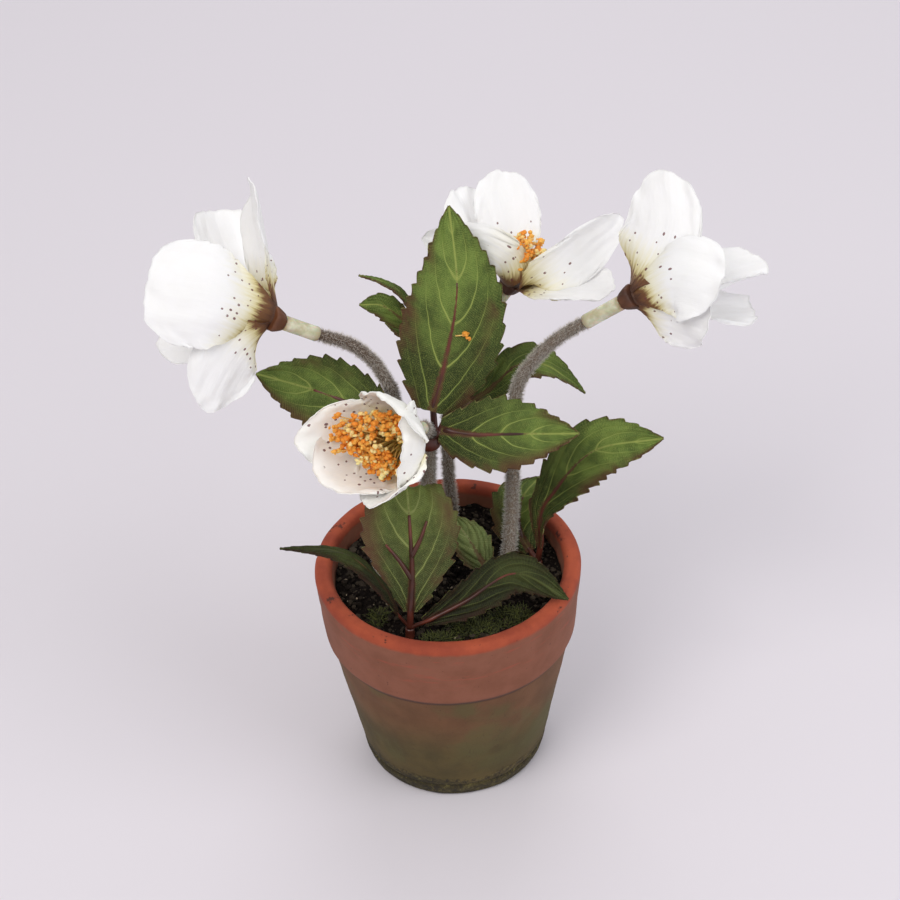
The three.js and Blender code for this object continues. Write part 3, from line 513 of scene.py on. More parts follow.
def weave(s, vector, threads):
    """Plain weave in millimetre coordinates: 0 to 1, high on the threads."""
    x, y, _ = s.split(s.scaled(vector, threads, threads, 1.0))
    return s.math("MULTIPLY_ADD", s.times(s.math("SINE", x), s.math("SINE", y)), 0.5, 0.5)


# The stains at a petal's base: where along it each sets in and is full, how strong, and its colour.
PETAL_STAINS = ((0.46, 0.16, 0.75, (236, 228, 178)), (0.27, 0.12, 0.8, (198, 178, 96)),
                (0.18, 0.1, 1.0, (104, 62, 26)), (0.09, 0.01, 0.8, (66, 34, 18)))


def petal_material(name, white, shade, fade, fleck, through_light):
    """`fade` thins out the flecks towards the tip and `fleck` is the size of the least."""
    s = Shader(name, roughness=0.6, subsurface_weight=through_light, subsurface_scale=0.003,
               subsurface_radius=(1.0, 0.95, 0.8), sheen_weight=0.06)
    _, t, side, _ = s.attribute("at")
    mm = s.attribute("mm")[0]
    s.colour = s.mix(s.step(s.noise(0.16, mm, detail=2), 0.3, 0.75, 0.6), white, shade)
    # The base is stained: pale yellow, then olive, then brown in streaks that run up the margins.
    streaks = s.noise(1.0, s.scaled(mm, 0.1, 0.9, 1.0), detail=4, roughness=0.6)
    margin = s.times(s.math("POWER", s.size(side), 2.0), 0.05)
    depth = s.minus(s.minus(t, s.swing(streaks, 0.22)), margin)
    for low, high, top, stain in PETAL_STAINS:
        s.paint(stain, (depth, low, high, top))
    # Maroon flecks, a little long, thinning out towards the middle.
    dots = s.node("TexVoronoi", {"voronoi_dimensions": "2D"}, s.scaled(mm, 0.72, 1.0, 1.0), Scale=0.44,
                  Randomness=0.9)
    chance, grow, _ = s.split(dots["Color"])
    size = s.math("MULTIPLY_ADD", grow, 0.1, fleck)
    dot = s.step(s.minus(dots["Distance"], size), 0.02, -0.03)
    wanted = s.step(s.plus(chance, s.times(t, fade)), 1.0, 0.96)
    s.paint((98, 36, 40), dot, wanted, (t, 0.08, 0.13), 0.9)
    folds = s.noise(1.0, s.scaled(mm, 0.08, 0.6, 1.0), detail=5, roughness=0.6)
    return s.finish(s.bump(folds, 0.45, 0.5, Normal=s.bump(weave(s, mm, 16.0), 0.03, 0.5)))


def leaf_material(name, light, middle, dark, vein, brown):
    s = Shader(name, roughness=0.62, specular_ior_level=0.15, subsurface_weight=0.05,
               subsurface_scale=0.001)
    _, t, side, count = s.attribute("at")
    mm, _, across, half = s.attribute("mm")
    edge, width = s.size(side), s.size(across)
    cloud = s.noise(0.1, mm, detail=3)
    grain = s.noise(3.4, mm, detail=4, roughness=0.85)
    s.colour = s.mix(s.step(cloud, 0.36, 0.66), middle, light)
    # Painted shade darkens the cloth towards the root and at the margin; light and dark flecks of print go
    # over it.
    s.paint(dark, (s.plus(t, s.swing(cloud, 0.5)), 0.68, 0.16, 0.95))
    s.paint(dark, (edge, 0.5, 1.0, 0.35))
    s.paint(dark, (grain, 0.51, 0.68, 0.8))
    s.paint(vein, (grain, 0.49, 0.34, 0.6))
    # Side veins leave the midrib at a slant, bend towards the tip and fade before the edge.
    slant = s.times(s.math("POWER", edge, VEIN_BEND), VEIN_SLANT)
    place = s.plus(s.minus(t, slant), s.swing(s.noise(0.16, mm, detail=1), 0.05))
    phase = s.math("PINGPONG", s.times(place, count), 0.5)
    fine = s.step(s.minus(phase, s.math("MULTIPLY_ADD", edge, -0.022, 0.036)), 0.012, -0.008)
    s.paint(light, (phase, 0.16, 0.02), (edge, 0.9, 0.2, 0.3))
    s.paint(vein, fine, (edge, 0.95, 0.35, 0.75))
    s.paint(light, (width, 1.6, 0.4, 0.3))
    s.paint(vein, (width, 0.42, 0.2, 0.8))
    # The lower midrib is stained red brown, and so are parts of the margin, which is frayed.
    ragged = s.swing(s.noise(0.8, mm, detail=4), 1.6)
    s.paint(brown, (s.plus(s.times(t, 2.4), s.plus(width, ragged)), 1.9, 1.3, 0.85))
    patch = s.plus(s.noise(0.055, mm, detail=3), s.times(side, -0.08))
    s.paint(brown, (patch, 0.44, 0.58, 0.8), (edge, 0.4, 0.9))
    rim = s.times(s.minus(1.0, edge), half)
    s.paint(brown, (s.plus(rim, ragged), 0.7, 0.0, 0.6))
    s.paint(vein, (rim, 0.26, 0.1), (s.noise(0.3, mm), 0.5, 0.6, 0.6))
    # The weave shows where the print is worn.
    threads = weave(s, mm, 8.5)
    worn = s.step(s.noise(0.35, mm, detail=3), 0.3, 0.65, 0.3)
    s.paint(vein, (threads, 0.45, 1.0), worn)
    s.paint(dark, (threads, 0.55, 0.0), worn)
    return s.finish(s.bump(grain, 0.12, 0.6, Normal=s.bump(threads, 0.05, 0.8)))


def plastic_material(name, light, dark, roughness):
    s = Shader(name, roughness=roughness)
    s.colour = s.mix(s.step(s.noise(90, detail=2), 0.35, 0.7), dark, light)
    return s.finish(s.bump(s.noise(260, detail=4), 0.08, 0.5))


def stamen_material():
    s = Shader("stamen", roughness=0.6, subsurface_weight=0.15, subsurface_scale=0.001)
    _, t, kind, tone = s.attribute("at")
    s.colour = s.mix(s.step(tone, 0.0, 0.8), (244, 148, 40), (255, 190, 84))
    s.paint((255, 232, 160), (tone, 0.74, 0.86))
    s.colour = s.mix(kind, s.mix(t, (206, 192, 110), (244, 196, 110)), s.colour)
    return s.finish(s.bump(s.noise(2600, detail=3), 0.2, 1.0))


def growth_material(name, low, tip, **sockets):
    """Hairs or tufts: pairs of colours for two tones, at the root and at the tip."""
    s = Shader(name, **sockets)
    _, t, tone, _ = s.attribute("at")
    s.colour = s.mix(t, s.mix(tone, *low), s.mix(tone, *tip))
    return s.finish()


def sleeve_material():
    s = Shader("clear_sleeve", roughness=0.25, subsurface_weight=0.6, subsurface_scale=0.003,
               coat_weight=0.4, coat_roughness=0.12)
    _, t, _, _ = s.attribute("at")
    s.colour = s.mix(s.step(s.noise(260, detail=3), 0.35, 0.7), (188, 184, 150), (222, 220, 196))
    s.paint((128, 106, 84), (t, 0.16, 0.02, 0.6))
    s.paint((150, 124, 74), (t, 0.86, 0.98, 0.5))
    return s.finish(s.bump(s.noise(500, detail=2), 0.08, 0.5))


# Pairs of clay tones, and the heights in metres between which each band takes over.
FOOT_CLAY = (50, 43, 20), (72, 63, 32)
CLAY_BANDS = ((0.006, 0.010, ((76, 64, 32), (92, 77, 40))), (0.022, 0.044, ((100, 67, 40), (114, 77, 49))))
COLLAR_CLAY, LIP_CLAY = ((126, 76, 54), (140, 87, 66)), ((144, 60, 38), (174, 79, 48))
COLLAR_FOOT, LIP_FOOT = 0.0538, 0.0788


def terracotta_material():
    s = Shader("terracotta", roughness=0.85)
    place = s.place()
    height = s.split(place)[2]
    broad = s.noise(30, detail=4)
    middle = s.noise(90, detail=5)
    mottle = s.step(middle, 0.3, 0.7)
    z = s.plus(height, s.swing(broad, 0.014))
    # From the foot up: mossy brown, olive and umber, dusty clay on the collar, bare clay at the lip.
    s.colour = s.mix(mottle, *FOOT_CLAY)
    for low, high, tones in CLAY_BANDS:
        s.paint(s.mix(mottle, *tones), (z, low, high))
    # Lichen, and fine cracks.
    s.paint((88, 84, 46), (broad, 0.5, 0.62, 0.6), (height, 0.008, 0.02))
    veins = s.noise(170, s.scaled(place, 1.0, 1.0, 0.35), detail=2)
    s.paint((66, 50, 32), (s.size(s.minus(veins, 0.5)), 0.006, 0.0, 0.35), (broad, 0.45, 0.55))
    # The collar is scratched near its top, and a dark line of painted shadow lies under its overhang.
    s.paint(s.mix(mottle, *COLLAR_CLAY), (height, COLLAR_FOOT - 0.0003, COLLAR_FOOT))
    scratches = s.noise(60, s.scaled(place, 1.0, 1.0, 9.0), detail=4, roughness=0.7)
    upper = s.step(s.plus(height, s.times(broad, 0.012)), 0.066, 0.078)
    s.paint((168, 76, 58), (scratches, 0.56, 0.66, 0.5), upper)
    # Painted shadow: a dark line where the collar's overhang shades the body below it.
    s.paint((64, 40, 30), (s.size(s.minus(height, COLLAR_FOOT)), 0.0016, 0.0003, 0.8))
    # The lip is bare and chipped.
    lip = s.plus(height, s.swing(s.noise(160, detail=4), 0.0016))
    s.paint(s.mix(mottle, *LIP_CLAY), (lip, LIP_FOOT - 0.0016, LIP_FOOT))
    s.paint((62, 34, 26), (s.noise(130, detail=5, roughness=0.7), 0.62, 0.66, 0.8), (lip, LIP_FOOT,
            LIP_FOOT + 0.0006))
    # A crust of moss grains round the foot, with a ragged top.
    crust = s.step(s.plus(height, s.times(middle, 0.006)), 0.0135, 0.012)
    grains = s.noise(620, detail=5, roughness=0.8)
    s.paint((38, 31, 18), (grains, 0.5, 0.42, 0.85), crust)
    s.paint((112, 104, 58), (grains, 0.54, 0.64, 0.75), crust)
    s.paint((66, 44, 34), (s.noise(900, detail=2), 0.7, 0.76, 0.6))
    fine = s.bump(s.noise(1100, detail=4, roughness=0.7), 0.14, 0.8)
    crusted = s.bump(s.times(grains, crust), 0.5, 0.8, Normal=fine)
    return s.finish(s.bump(middle, 0.35, 0.5, Normal=crusted))


def soil_material():
    s = Shader("soil", roughness=0.95, specular_ior_level=0.1)
    _, tone, _, _ = s.attribute("at")
    grain = s.noise(1800, detail=4)
    s.colour = s.mix(s.step(grain, 0.3, 0.7), (9, 6, 5), (26, 19, 16))
    s.paint((176, 160, 138), tone)
    return s.finish(s.bump(grain, 0.3, 1.0))


# Display colours of each leaf cloth, and of a darker copy that paints shade on the front leaflets: light,
# middle, dark, vein, brown.
LEAF_TONES = {
    "leaf": ((114, 136, 64), (80, 100, 46), (38, 48, 22), (156, 166, 88), (88, 52, 42)),
    "leaf_under": ((114, 128, 64), (86, 98, 48), (54, 60, 32), (146, 154, 92), (92, 58, 46)),
    "leaf_painted_shade": ((60, 66, 32), (42, 46, 22), (22, 23, 12), (82, 90, 48), (50, 28, 21)),
    "pale_leaf": ((128, 142, 84), (98, 114, 62), (70, 80, 44), (164, 172, 112), (96, 62, 50)),
}

petal_material("petal", (251, 251, 251), (247, 247, 245), 1.8, 0.085, 0.2)
petal_material("petal_cream", (255, 255, 252), (255, 253, 243), 1.05, 0.12, 0.08)
for cloth, tones in LEAF_TONES.items():
    leaf_material(cloth, *tones)
plastic_material("rib", (104, 48, 34), (58, 27, 19), 0.36)
plastic_material("calyx", (108, 62, 32), (62, 32, 18), 0.6)
stamen_material()
growth_material("flock", ((84, 66, 52), (158, 144, 128)), ((226, 212, 196), (255, 254, 248)),
                roughness=0.95, sheen_weight=0.25, sheen_roughness=0.5)
sleeve_material()
terracotta_material()
soil_material()
growth_material("moss", ((14, 15, 7), (26, 28, 10)), ((34, 38, 14), (92, 98, 34)), roughness=0.8)

# ---------------- blooms

PETAL_ROWS, PETAL_COLUMNS, PETAL_THICKNESS = 54, 36, 0.34
CLAW = 0.2  # width of a petal's root, as a share of its greatest
ROOT_OUT, ROOT_FORWARD = 2.7, 1.7  # where a claw starts, from the receptacle's centre
HEART = (0, 1), (2, 1.2), (2.4, 2.2), (1.8, 3.4), (0, 3.9)
CALYX_LENGTH = 1.6
CALYX = ((0, -CALYX_LENGTH), (2.5, -1.6), (2.9, -1.1), (3.5, 0.3), (4.1, 2.0), (3.9, 3.2), (0, 2.8))
STAMEN_BASE = 3.6  # how far up the bloom's axis the stamens start
STAMEN_RINGS, STAMEN_SIDES = 6, 5
GOLDEN_TURN = pi * (3 - sqrt(5))


def petal_half(t, widest):
    """Half width of a petal, from its claw to 1 where its sides stop widening."""
    return CLAW + (1 - CLAW) * np.sin(pi / 2 * np.minimum(t / widest, 1)) ** 0.95


def petal_grid(bloom, petal, order, seed):
    path, half, cup, side, (widest, power, rim) = petal
    axis, base = unit(bloom["axis"]), np.array(bloom["base"], float)
    path = np.array(path, float)
    chord = path[2] - path[0]
    path[0] = axis * ROOT_FORWARD + across_of(path[1], axis) * ROOT_OUT
    t = np.linspace(0, 1, PETAL_ROWS)[:, None] ** 0.9
    s = np.sin(pi / 2 * np.linspace(-1, 1, PETAL_COLUMNS))
    tt, ss = t + 0 * s, s + 0 * t
    reach = np.abs(ss)
    # The rim is round or pointed, and a little ragged.
    ragged = 0.02 * wobble(ss * 5, order, seed)
    fall = rim * (1 - np.sqrt(1 - np.minimum(reach, 0.9999) ** power)) - ragged
    along = tt - smoothstep(tt, 0, 1) * fall
    along = np.clip(along / along.max(), 0, 1)
    point, tangent = (a.reshape(along.shape + (3,)) for a in midline(path, along.ravel()))
    # The cloth turns from its claw's direction to its tip's, its hollow side towards the bloom's axis.
    tip_side, root_side = unit(side), unit(np.cross(axis, path[1]))
    if root_side @ tip_side < 0:
        root_side = -root_side
    inward = 1 if np.cross(chord, tip_side) @ (axis * 30 - path[1]) > 0 else -1
    turn = smoothstep(along, 0, 0.35)[..., None]
    across = across_of(lerp(root_side, tip_side, turn), tangent)
    normal = np.cross(tangent, across) * inward
    width = half * petal_half(tt, widest)
    width = width * (1 + 0.06 * wobble(tt * 7, np.sign(ss) * 2, seed) * reach**3)
    edge = np.maximum(reach, smoothstep(tt, 0.7, 1.0))
    ruffle = 1.1 * tt**2 * reach * np.sin(2.5 * pi * ss + 1.7 * order + 4 * tt)
    ruffle += 1.7 * edge**3 * tt * wobble(tt * 3.5, ss * 2.4, seed, 2)
    creases = 0.45 * smoothstep(tt, 0.15, 0.6) * wobble(tt * 2.2, ss * 6, seed + 3, 4)
    crimp = 0.3 * edge**4 * wobble(tt * 14, ss * 12, seed + 9, 2)
    rise = width * cup * ss**2 + ruffle + creases + crimp
    grid = base + point + across * (width * ss)[..., None] + normal * rise[..., None]
    return grid, xyz(along, ss), xyz(along * arc_length(path, 50) + 40 * seed, width * ss, seed)


def petals(name, bloom):
    piece = Piece("at", "mm")
    for order, petal in enumerate(PETALS[name]):
        grid, at, mm = petal_grid(bloom, petal, order, order + 10 * len(name))
        sheet(piece, grid, PETAL_THICKNESS, 1, at=at, mm=mm)
    piece.add(*turned(rounded(HEART, 1.2), bloom["base"], bloom["axis"], 28), at=(0.02, 0, 0))
    piece.make(f"cloth_petals_{name}", [bloom["cloth"]], "petal", f"petals_{name}")


def neck(name):
    """Where a stem's flock ends, the way on to its bloom, and the distance to it."""
    start = np.array(STEMS[name][-1][-1], float)
    way = np.array(BLOOMS[name]["base"], float) - start
    return start, unit(way), norm(way)


def calyx(name, bloom):
    def dent(radius, height, angle):
        return radius * (1 + 0.06 * np.sin(5 * angle + len(name)) + 0.03 * np.sin(13 * angle)), height

    piece = Piece()
    piece.add(*turned(rounded(CALYX, 0.6, 6), bloom["base"], neck(name)[1], 40, dent))
    piece.make(f"receptacle_{name}", ["calyx"], "calyx", f"calyx_{name}")


def filament(piece, path, radii, at):
    piece.add(*tube(evenly(path, STAMEN_RINGS), radii, STAMEN_SIDES), at=at)


def stamens(name, bloom):
    draw = random.Random(len(name) * 7 + 3)
    piece = Piece("at")
    count, spread, reach, crumb, bunches = STAMENS[name]
    start = np.array(bloom["base"]) + unit(bloom["axis"]) * STAMEN_BASE
    radii = np.linspace(0.26, 0.2, STAMEN_RINGS)
    share = by_ring(np.linspace(0, 1, STAMEN_RINGS), STAMEN_SIDES)
    for k in range(count):
        bunch = np.array(bunches[k % len(bunches)], float)
        axis = unit(bunch)
        side = across_of(np.array([0.2, 0.3, 1.0]), axis)
        tilt = radians(spread) * sqrt((k + 0.5) / count) * draw.uniform(0.85, 1.1)
        turn = k * GOLDEN_TURN + draw.uniform(-0.3, 0.3)
        out = cos(turn) * side + sin(turn) * np.cross(axis, side)
        length = norm(bunch) * draw.uniform(*reach)
        foot = start + out * draw.uniform(0.3, 1.4)
        way = unit(cos(tilt) * axis + sin(tilt) * out)
        if len(bunches) == 1:  # shorter where it would reach a petal
            beside = max(unit(petal[0][2]) @ way for petal in PETALS[name])
            length *= 1 - 0.35 * float(smoothstep(beside, 0.85, 0.96))
        bend = across_of(np.array([draw.uniform(-1, 1) for _ in range(3)]), way) * draw.uniform(0.2, 1.3)
        tip = foot + way * length + bend * 0.4
        filament(piece, [foot, foot + way * length * 0.5 + bend, tip], radii, xyz(share))
        tone = draw.random()
        for _ in range(5):
            shift = np.array([draw.gauss(0, 0.8) for _ in range(3)]) * crumb
            lump(piece, tip + shift, crumb * draw.uniform(0.7, 1.2), draw, (1, 1, tone))
    piece.make(f"stamen_cluster_{name}", ["stamen"], "stamen", f"stamens_{name}")


# ---------------- stems and sleeves

STEM_SIDES, STEM_RING_GAP = 18, 1.6
FLOCK_DEPTH = 0.4  # the solid stem under the hairs is thinner by this
HAIRS_PER_MM, HAIR_RADIUS, HAIR_LENGTHS = 90, 0.1, (0.7, 1.9)
HAIR_FACES = (0, 1, 3), (1, 2, 3), (2, 0, 3), (0, 2, 1)
PIN_RADIUS, PIN_ENDS = 1.0, (-0.5, 5.5)  # the wire that runs on into the sleeve
SLEEVE_RADIUS, SLEEVE_BORE, SLEEVE_START, SLEEVE_PLUG = 2.45, 1.5, 0.3, 1.5


def stem(name, _):
    radius, tones, points = STEMS[name]
    piece = Piece("at")
    length = arc_length(points, 90)
    steps = int(length / STEM_RING_GAP)
    t = np.linspace(0, 1, steps)
    path, tangent = midline(points, t)
    radii = lerp(*radius, t) - FLOCK_DEPTH
    radii *= 1 + 0.05 * wobble(t * length / 3, 0, len(name))
    tone = lerp(*tones, smoothstep(t, 0.55, 0.95))
    piece.add(*tube(path, radii, STEM_SIDES), at=xyz(0, by_ring(tone, STEM_SIDES)))
    start, along, _ = neck(name)
    piece.add(*tube([start + along * end for end in PIN_ENDS], PIN_RADIUS, 12), at=(0, 0.4, 0))
    # The hairs are thin three-sided spikes that lean every way, and a little more up the stem.
    hairs = int(length * HAIRS_PER_MM)
    draw = np.random.default_rng(len(name))
    place = draw.random(hairs) * (steps - 1)
    i = place.astype(int)
    way = tangent[i]
    out = across_of(draw.normal(size=(hairs, 3)), way)
    swirl = draw.uniform(-0.6, 0.6, (hairs, 1)) * np.cross(way, out)
    lean = unit(out + way * draw.uniform(-0.6, 0.9, (hairs, 1)) + swirl)
    foot = lerp(path[i], path[np.minimum(i + 1, steps - 1)], (place - i)[:, None])
    foot = foot + out * (radii[i] - HAIR_RADIUS)[:, None]
    tip = foot + lean * draw.uniform(*HAIR_LENGTHS, (hairs, 1))
    broad = unit(np.cross(lean, way + 0.3 * out)) * HAIR_RADIUS
    thick = unit(np.cross(lean, broad)) * HAIR_RADIUS
    corners = np.stack([foot - broad, foot + broad, foot + thick, tip], 1)
    shade = np.clip(tone[i] + draw.uniform(-0.3, 0.45, hairs), 0, 1)
    growth = np.tile([0.1, 0.1, 0.1, 1.0], hairs)
    first = np.arange(hairs)[:, None] * 4
    spikes = np.concatenate([first + np.array(face) for face in HAIR_FACES])
    piece.add(corners, [spikes], at=xyz(growth, np.repeat(shade, 4)))
    piece.make(f"flocked_stem_{name}", ["flock"], "flock", f"stem_{name}")


def sleeve(name, _):
    start, along, distance = neck(name)
    end = distance - CALYX_LENGTH
    outer, bore, low = SLEEVE_RADIUS, SLEEVE_BORE, SLEEVE_START
    plug = max(end - SLEEVE_PLUG, 0.6)
    wall = [(bore, plug), (bore, low), (outer - 0.2, low), (outer, low + 0.4), (outer - 0.06, end * 0.5),
            (outer, end - 0.4), (outer - 0.25, end), (0, end)]
    verts, faces = turned([(0, plug), (bore, plug)] + rounded(wall, 0.3, 4)[1:], start, along, 36)
    piece = Piece("at")
    piece.add(verts, faces, at=xyz((verts - start) @ along / end))
    piece.make(f"clear_sleeve_{name}", ["clear_sleeve"], "clear_sleeve", f"sleeve_{name}")


# ---------------- leaves

LEAF_THICKNESS = 0.4
ROWS_PER_TOOTH, LEAF_COLUMNS = 9, 29
TOOTH_CREST = 0.82  # share of a tooth's length at which it is highest
# The cloth of a leaflet's upper and under faces, where it isn't the common one.
COMMON_CLOTH = "leaf", "leaf_under"
# The front leaflets wear the darker copy, which is partly painted shade and partly their darker print.
CLOTH = {"inner_leaf_blade": ("pale_leaf", "leaf_under"), "front_leaf_left": ("leaf_painted_shade", "leaf_painted_shade"),
         "front_leaf_right": ("leaf", "leaf_painted_shade")}
RIB_REACH, SIDE_RIB_LIFT = 0.66, 0.75  # share of a leaflet that its rib runs along; a side rib's lift
COLLAR = (0, -2.6), (1.1, -2.4), (1.3, 0), (1.0, 2.4), (0, 2.6), (0, -2.6)  # out from its bore, and up


def leaf_width(t, widest):
    return np.maximum(np.sin(pi * np.clip(t, 0, 1) ** widest), 0) ** 0.85


def leaf_frame(leaflet, t):
    """A leaflet's points, directions across and normals at shares t of its midrib."""
    path, across, *_ = leaflet
    point, tangent = midline(path, t)
    side = across_of(lerp(unit(across[0]), unit(across[-1]), t[:, None]), tangent)
    return point, side, np.cross(tangent, side)


def leaf_grid(leaflet, seed):
    path, _, half, fold, widest, teeth, rib_side = leaflet
    rows = teeth * ROWS_PER_TOOTH + 1
    t = np.linspace(0, 1, rows)[:, None]
    s = np.linspace(-1, 1, LEAF_COLUMNS)
    s = np.sign(s) * np.abs(s) ** 0.9
    tt, ss = t + 0 * s, s + 0 * t
    reach = np.abs(ss)
    # The margin is toothed: each tooth rises slowly and falls back at once.
    share = tt + 0.10 * reach * np.sin(pi * tt) ** 0.7
    saw = (tt * teeth) % 1.0
    tooth = np.where(saw < TOOTH_CREST, (saw / TOOTH_CREST) ** 1.3, (1 - saw) / (1 - TOOTH_CREST))
    tooth = tooth * (0.8 + 0.5 * wobble(tt * teeth * 0.9, np.sign(ss) * 3, seed, 1))
    share = np.clip(share + 0.012 * tooth * reach**6, 0, 1)
    along = LEAF_START * 0.7 + (1 - LEAF_START * 0.7) * share
    point, side, normal = (a.reshape(rows, LEAF_COLUMNS, 3) for a in leaf_frame(leaflet, along.ravel()))
    width = np.maximum(leaf_width(along, widest) * half, 0.35)
    depth = np.minimum(1.9, 0.2 * width) * (1 - tooth)
    out = width * ss - np.sign(ss) * depth * reach**7
    # The face is folded along the midrib, ribbed by its side veins, and waves at the margin.
    vein = tt - VEIN_SLANT * reach**VEIN_BEND
    ripple = np.cos(tau * vein * SIDE_VEINS) * -0.32 * np.sin(pi * np.minimum(reach * 1.1, 1))
    midrib = 0.5 * np.exp(-((out / 1.1) ** 2))
    wave = 0.9 * reach**2 * np.sin(5.2 * tt + seed) * np.minimum(width / 12, 1)
    wave += 0.5 * wobble(tt * 5, ss * 2.5, seed) * np.minimum(width / 8, 1)
    rise = width * fold * reach - rib_side * (ripple - midrib) + wave
    grid = point + side * out[..., None] + normal * rise[..., None]
    return grid, xyz(tt, ss, SIDE_VEINS), xyz(tt * arc_length(path, 60) + 60 * seed, out, width)


def leaflets():
    named = {f"{leaf}_{part}": leaflet for leaf, parts in LEAVES.items() for part, leaflet in parts.items()}
    for seed, (name, leaflet) in enumerate(named.items(), 1):
        piece = Piece("at", "mm")
        grid, at, mm = leaf_grid(leaflet, seed)
        sheet(piece, grid, LEAF_THICKNESS, -leaflet[-1], under=1, at=at, mm=mm)
        piece.make(f"cloth_{name}", CLOTH.get(name, COMMON_CLOTH), "leaf", name)


def dropped_stamen():
    """A stamen that has fallen on the upright leaflet."""
    draw = random.Random(5)
    piece = Piece("at")
    leaflet = LEAVES["whorl"]["upright"]
    point, side, normal = (a[0] for a in leaf_frame(leaflet, np.array([0.43])))
    face = -leaflet[-1] * normal
    foot = point + side * 1.4 + face * 0.6
    tip = point + side * 5.2 + face * 0.6 - unit(np.cross(normal, side)) * 1.5
    filament(piece, [foot, (foot + tip) / 2 + face * 0.7, tip], 0.25, (0.8, 0, 0))
    for _ in range(7):
        shift = np.array([draw.gauss(0, 0.5) for _ in range(3)])
        lump(piece, tip + shift + face * 0.3, 0.9, draw, (1, 1, 0.3))
    piece.make("stamen_dropped", ["stamen"], "stamen")


def main_rib(leaflet, root_at):
    """A leaflet's rib: a tapered tube from where root_at puts its root, then along the midrib."""
    point, _, normal = leaf_frame(leaflet, np.linspace(LEAF_START, RIB_REACH, 14))
    path = point + normal * np.linspace(0.95, 0.6, 14)[:, None] * leaflet[-1]
    radii = np.linspace(1.1, 0.42, 40) * min(leaflet[2] / 12, 1.1)
    return tube(evenly(np.vstack([root_at(path[0]), path]), 40), radii, 12)


def side_rib(leaflet, places):
    _, _, _, fold, _, _, rib_side = leaflet
    along, out = (np.array(v, float) for v in zip(*places))
    point, side, normal = leaf_frame(leaflet, along)
    lift = fold * np.abs(out) + SIDE_RIB_LIFT * rib_side
    path = evenly(point + side * out[:, None] + normal * lift[:, None], 16)
    return tube(path, np.linspace(0.95, 0.4, 16), 10)


def ribs(leaf, parts):
    """A leaf's moulded frame: a collar on its stem or a petiole in the soil, and a rib for each leaflet."""
    plan = RIB_ROOTS[leaf]
    piece = Piece()
    hub = np.array(plan["hub"], float) if "hub" in plan else None
    foot = list(plan.get("petiole", ()))
    if "stem" in plan:
        radius, _, points = STEMS[plan["stem"]]
        stem_path, tangent = midline(points, np.linspace(0, 1, 200))
        k = int(np.argmin(norm(stem_path - np.array(plan["collar"]), axis=1)))
        ring, along = stem_path[k], tangent[k]
        bore = radius[0] + 0.1
        piece.add(*turned(rounded([(bore + out, up) for out, up in COLLAR], 0.7), ring, along, 32))
        if hub is not None:
            foot = [ring + unit(hub - ring) * bore]
    if hub is not None:
        piece.add(*tube(evenly([*foot, hub], 12), np.linspace(1.9, 1.5, 12), 14))

    def root_at(first):
        return ring + across_of(first - ring, along) * (bore + 0.9) if hub is None else hub

    for leaflet in parts.values():
        piece.add(*main_rib(leaflet, root_at))
    for name, *places in SIDE_RIBS.get(leaf, ()):
        piece.add(*side_rib(parts[name], places))
    piece.make(f"moulded_ribs_{leaf}", ["rib"], "rib", f"ribs_{leaf}")


# ---------------- pot, soil and moss

POT_SIDES, POT_RING_GAP = 200, 2.4
CHIP = {"turn": 2.93, "width": 0.05, "height": 79.6, "tall": 1.6}  # a chip out of the lip's left end
SOIL_RINGS, SOIL_SPOKES, SOIL_FLOOR = 60, 160, 50
SOIL_CRUMBS, PALE_CRUMBS = 2600, 0.03  # the second is a share of the first
MOSS_PATCHES = ((8, -27, 9, 6), (20, -23, 8, 6), (-4, -32, 7, 4), (-24, -20, 4, 5))  # x, y, half sizes
MOSS_DENSITY, MOSS_REACH = 16, 37.5  # tufts for a square millimetre of half sizes; radius they keep to


def pot_inside(height):
    share = (height - POT["floor"]) / (POT["height"] - POT["floor"])
    bottom = POT["base"] - POT["wall"] + 1
    return bottom + (POT["rim"] - POT["lip"] - bottom) * share**0.75


def pot_profile():
    """Outline of half the pot: up the outside from the base, over the lip and down the inside."""
    base, rim, top, band, waist = (POT[key] for key in ("base", "rim", "height", "foot", "collar_foot"))
    collar = top - POT["collar"]
    slope = (POT["body_top"] - base) / collar
    foot = base + slope * band
    inner = rim - POT["lip"]
    return [(0.01, 0), (base - 0.9, 0), (base, 0.9), (foot + 0.1, band - 0.7), (foot - 0.7, band),
            (foot + 0.2, band + 1.0), *((base + slope * z, z) for z in (14, 24, 34, 44)),
            (POT["body_top"], collar - 0.8), (waist - 1.1, collar - 0.2), (waist, collar + 1.3),
            (lerp(waist, rim, 0.5), collar + 13.5), (rim, top - 1.6), (rim - 1.3, top), (inner + 1.3, top),
            (inner, top - 1.6), *((pot_inside(z), z) for z in (70, 30, 5)), (0.01, 5)]


def pot():
    profile = rounded(pot_profile(), 1.1, 6)
    dense = [profile[0]]
    for before, after in zip(profile, profile[1:]):
        steps = max(int(dist(before, after) / POT_RING_GAP), 1)
        dense += [tuple(lerp(np.array(before), np.array(after), k / steps)) for k in range(1, steps + 1)]

    def dent(radius, height, angle):
        turn = angle + 0 * height
        x, y = np.cos(turn) * 2, np.sin(turn) * 2
        bumps = 0.22 * wobble(x, y, height / 14, 4) + 0.08 * wobble(x * 5, y * 5, height / 3, 2)
        chip = np.exp(-(((turn - CHIP["turn"]) / CHIP["width"]) ** 2)
                      - ((height - CHIP["height"]) / CHIP["tall"]) ** 2)
        chipped = radius + smoothstep(radius, 20, 30) * bumps - 0.9 * chip * smoothstep(radius, 42, 44)
        return chipped, height - 0.5 * chip

    piece = Piece()
    piece.add(*turned(dense, (0, 0, 0), (0, 0, 1), POT_SIDES, dent))
    piece.make("fired_pot", ["terracotta"], "terracotta", "pot")


def soil_height(x, y):
    broad = np.sin(0.31 * x + 1.1) * np.cos(0.27 * y - 0.6)
    return SOIL_TOP - 0.7 + 0.9 * (broad + 0.5 * np.sin(0.7 * x - 0.5 * y))


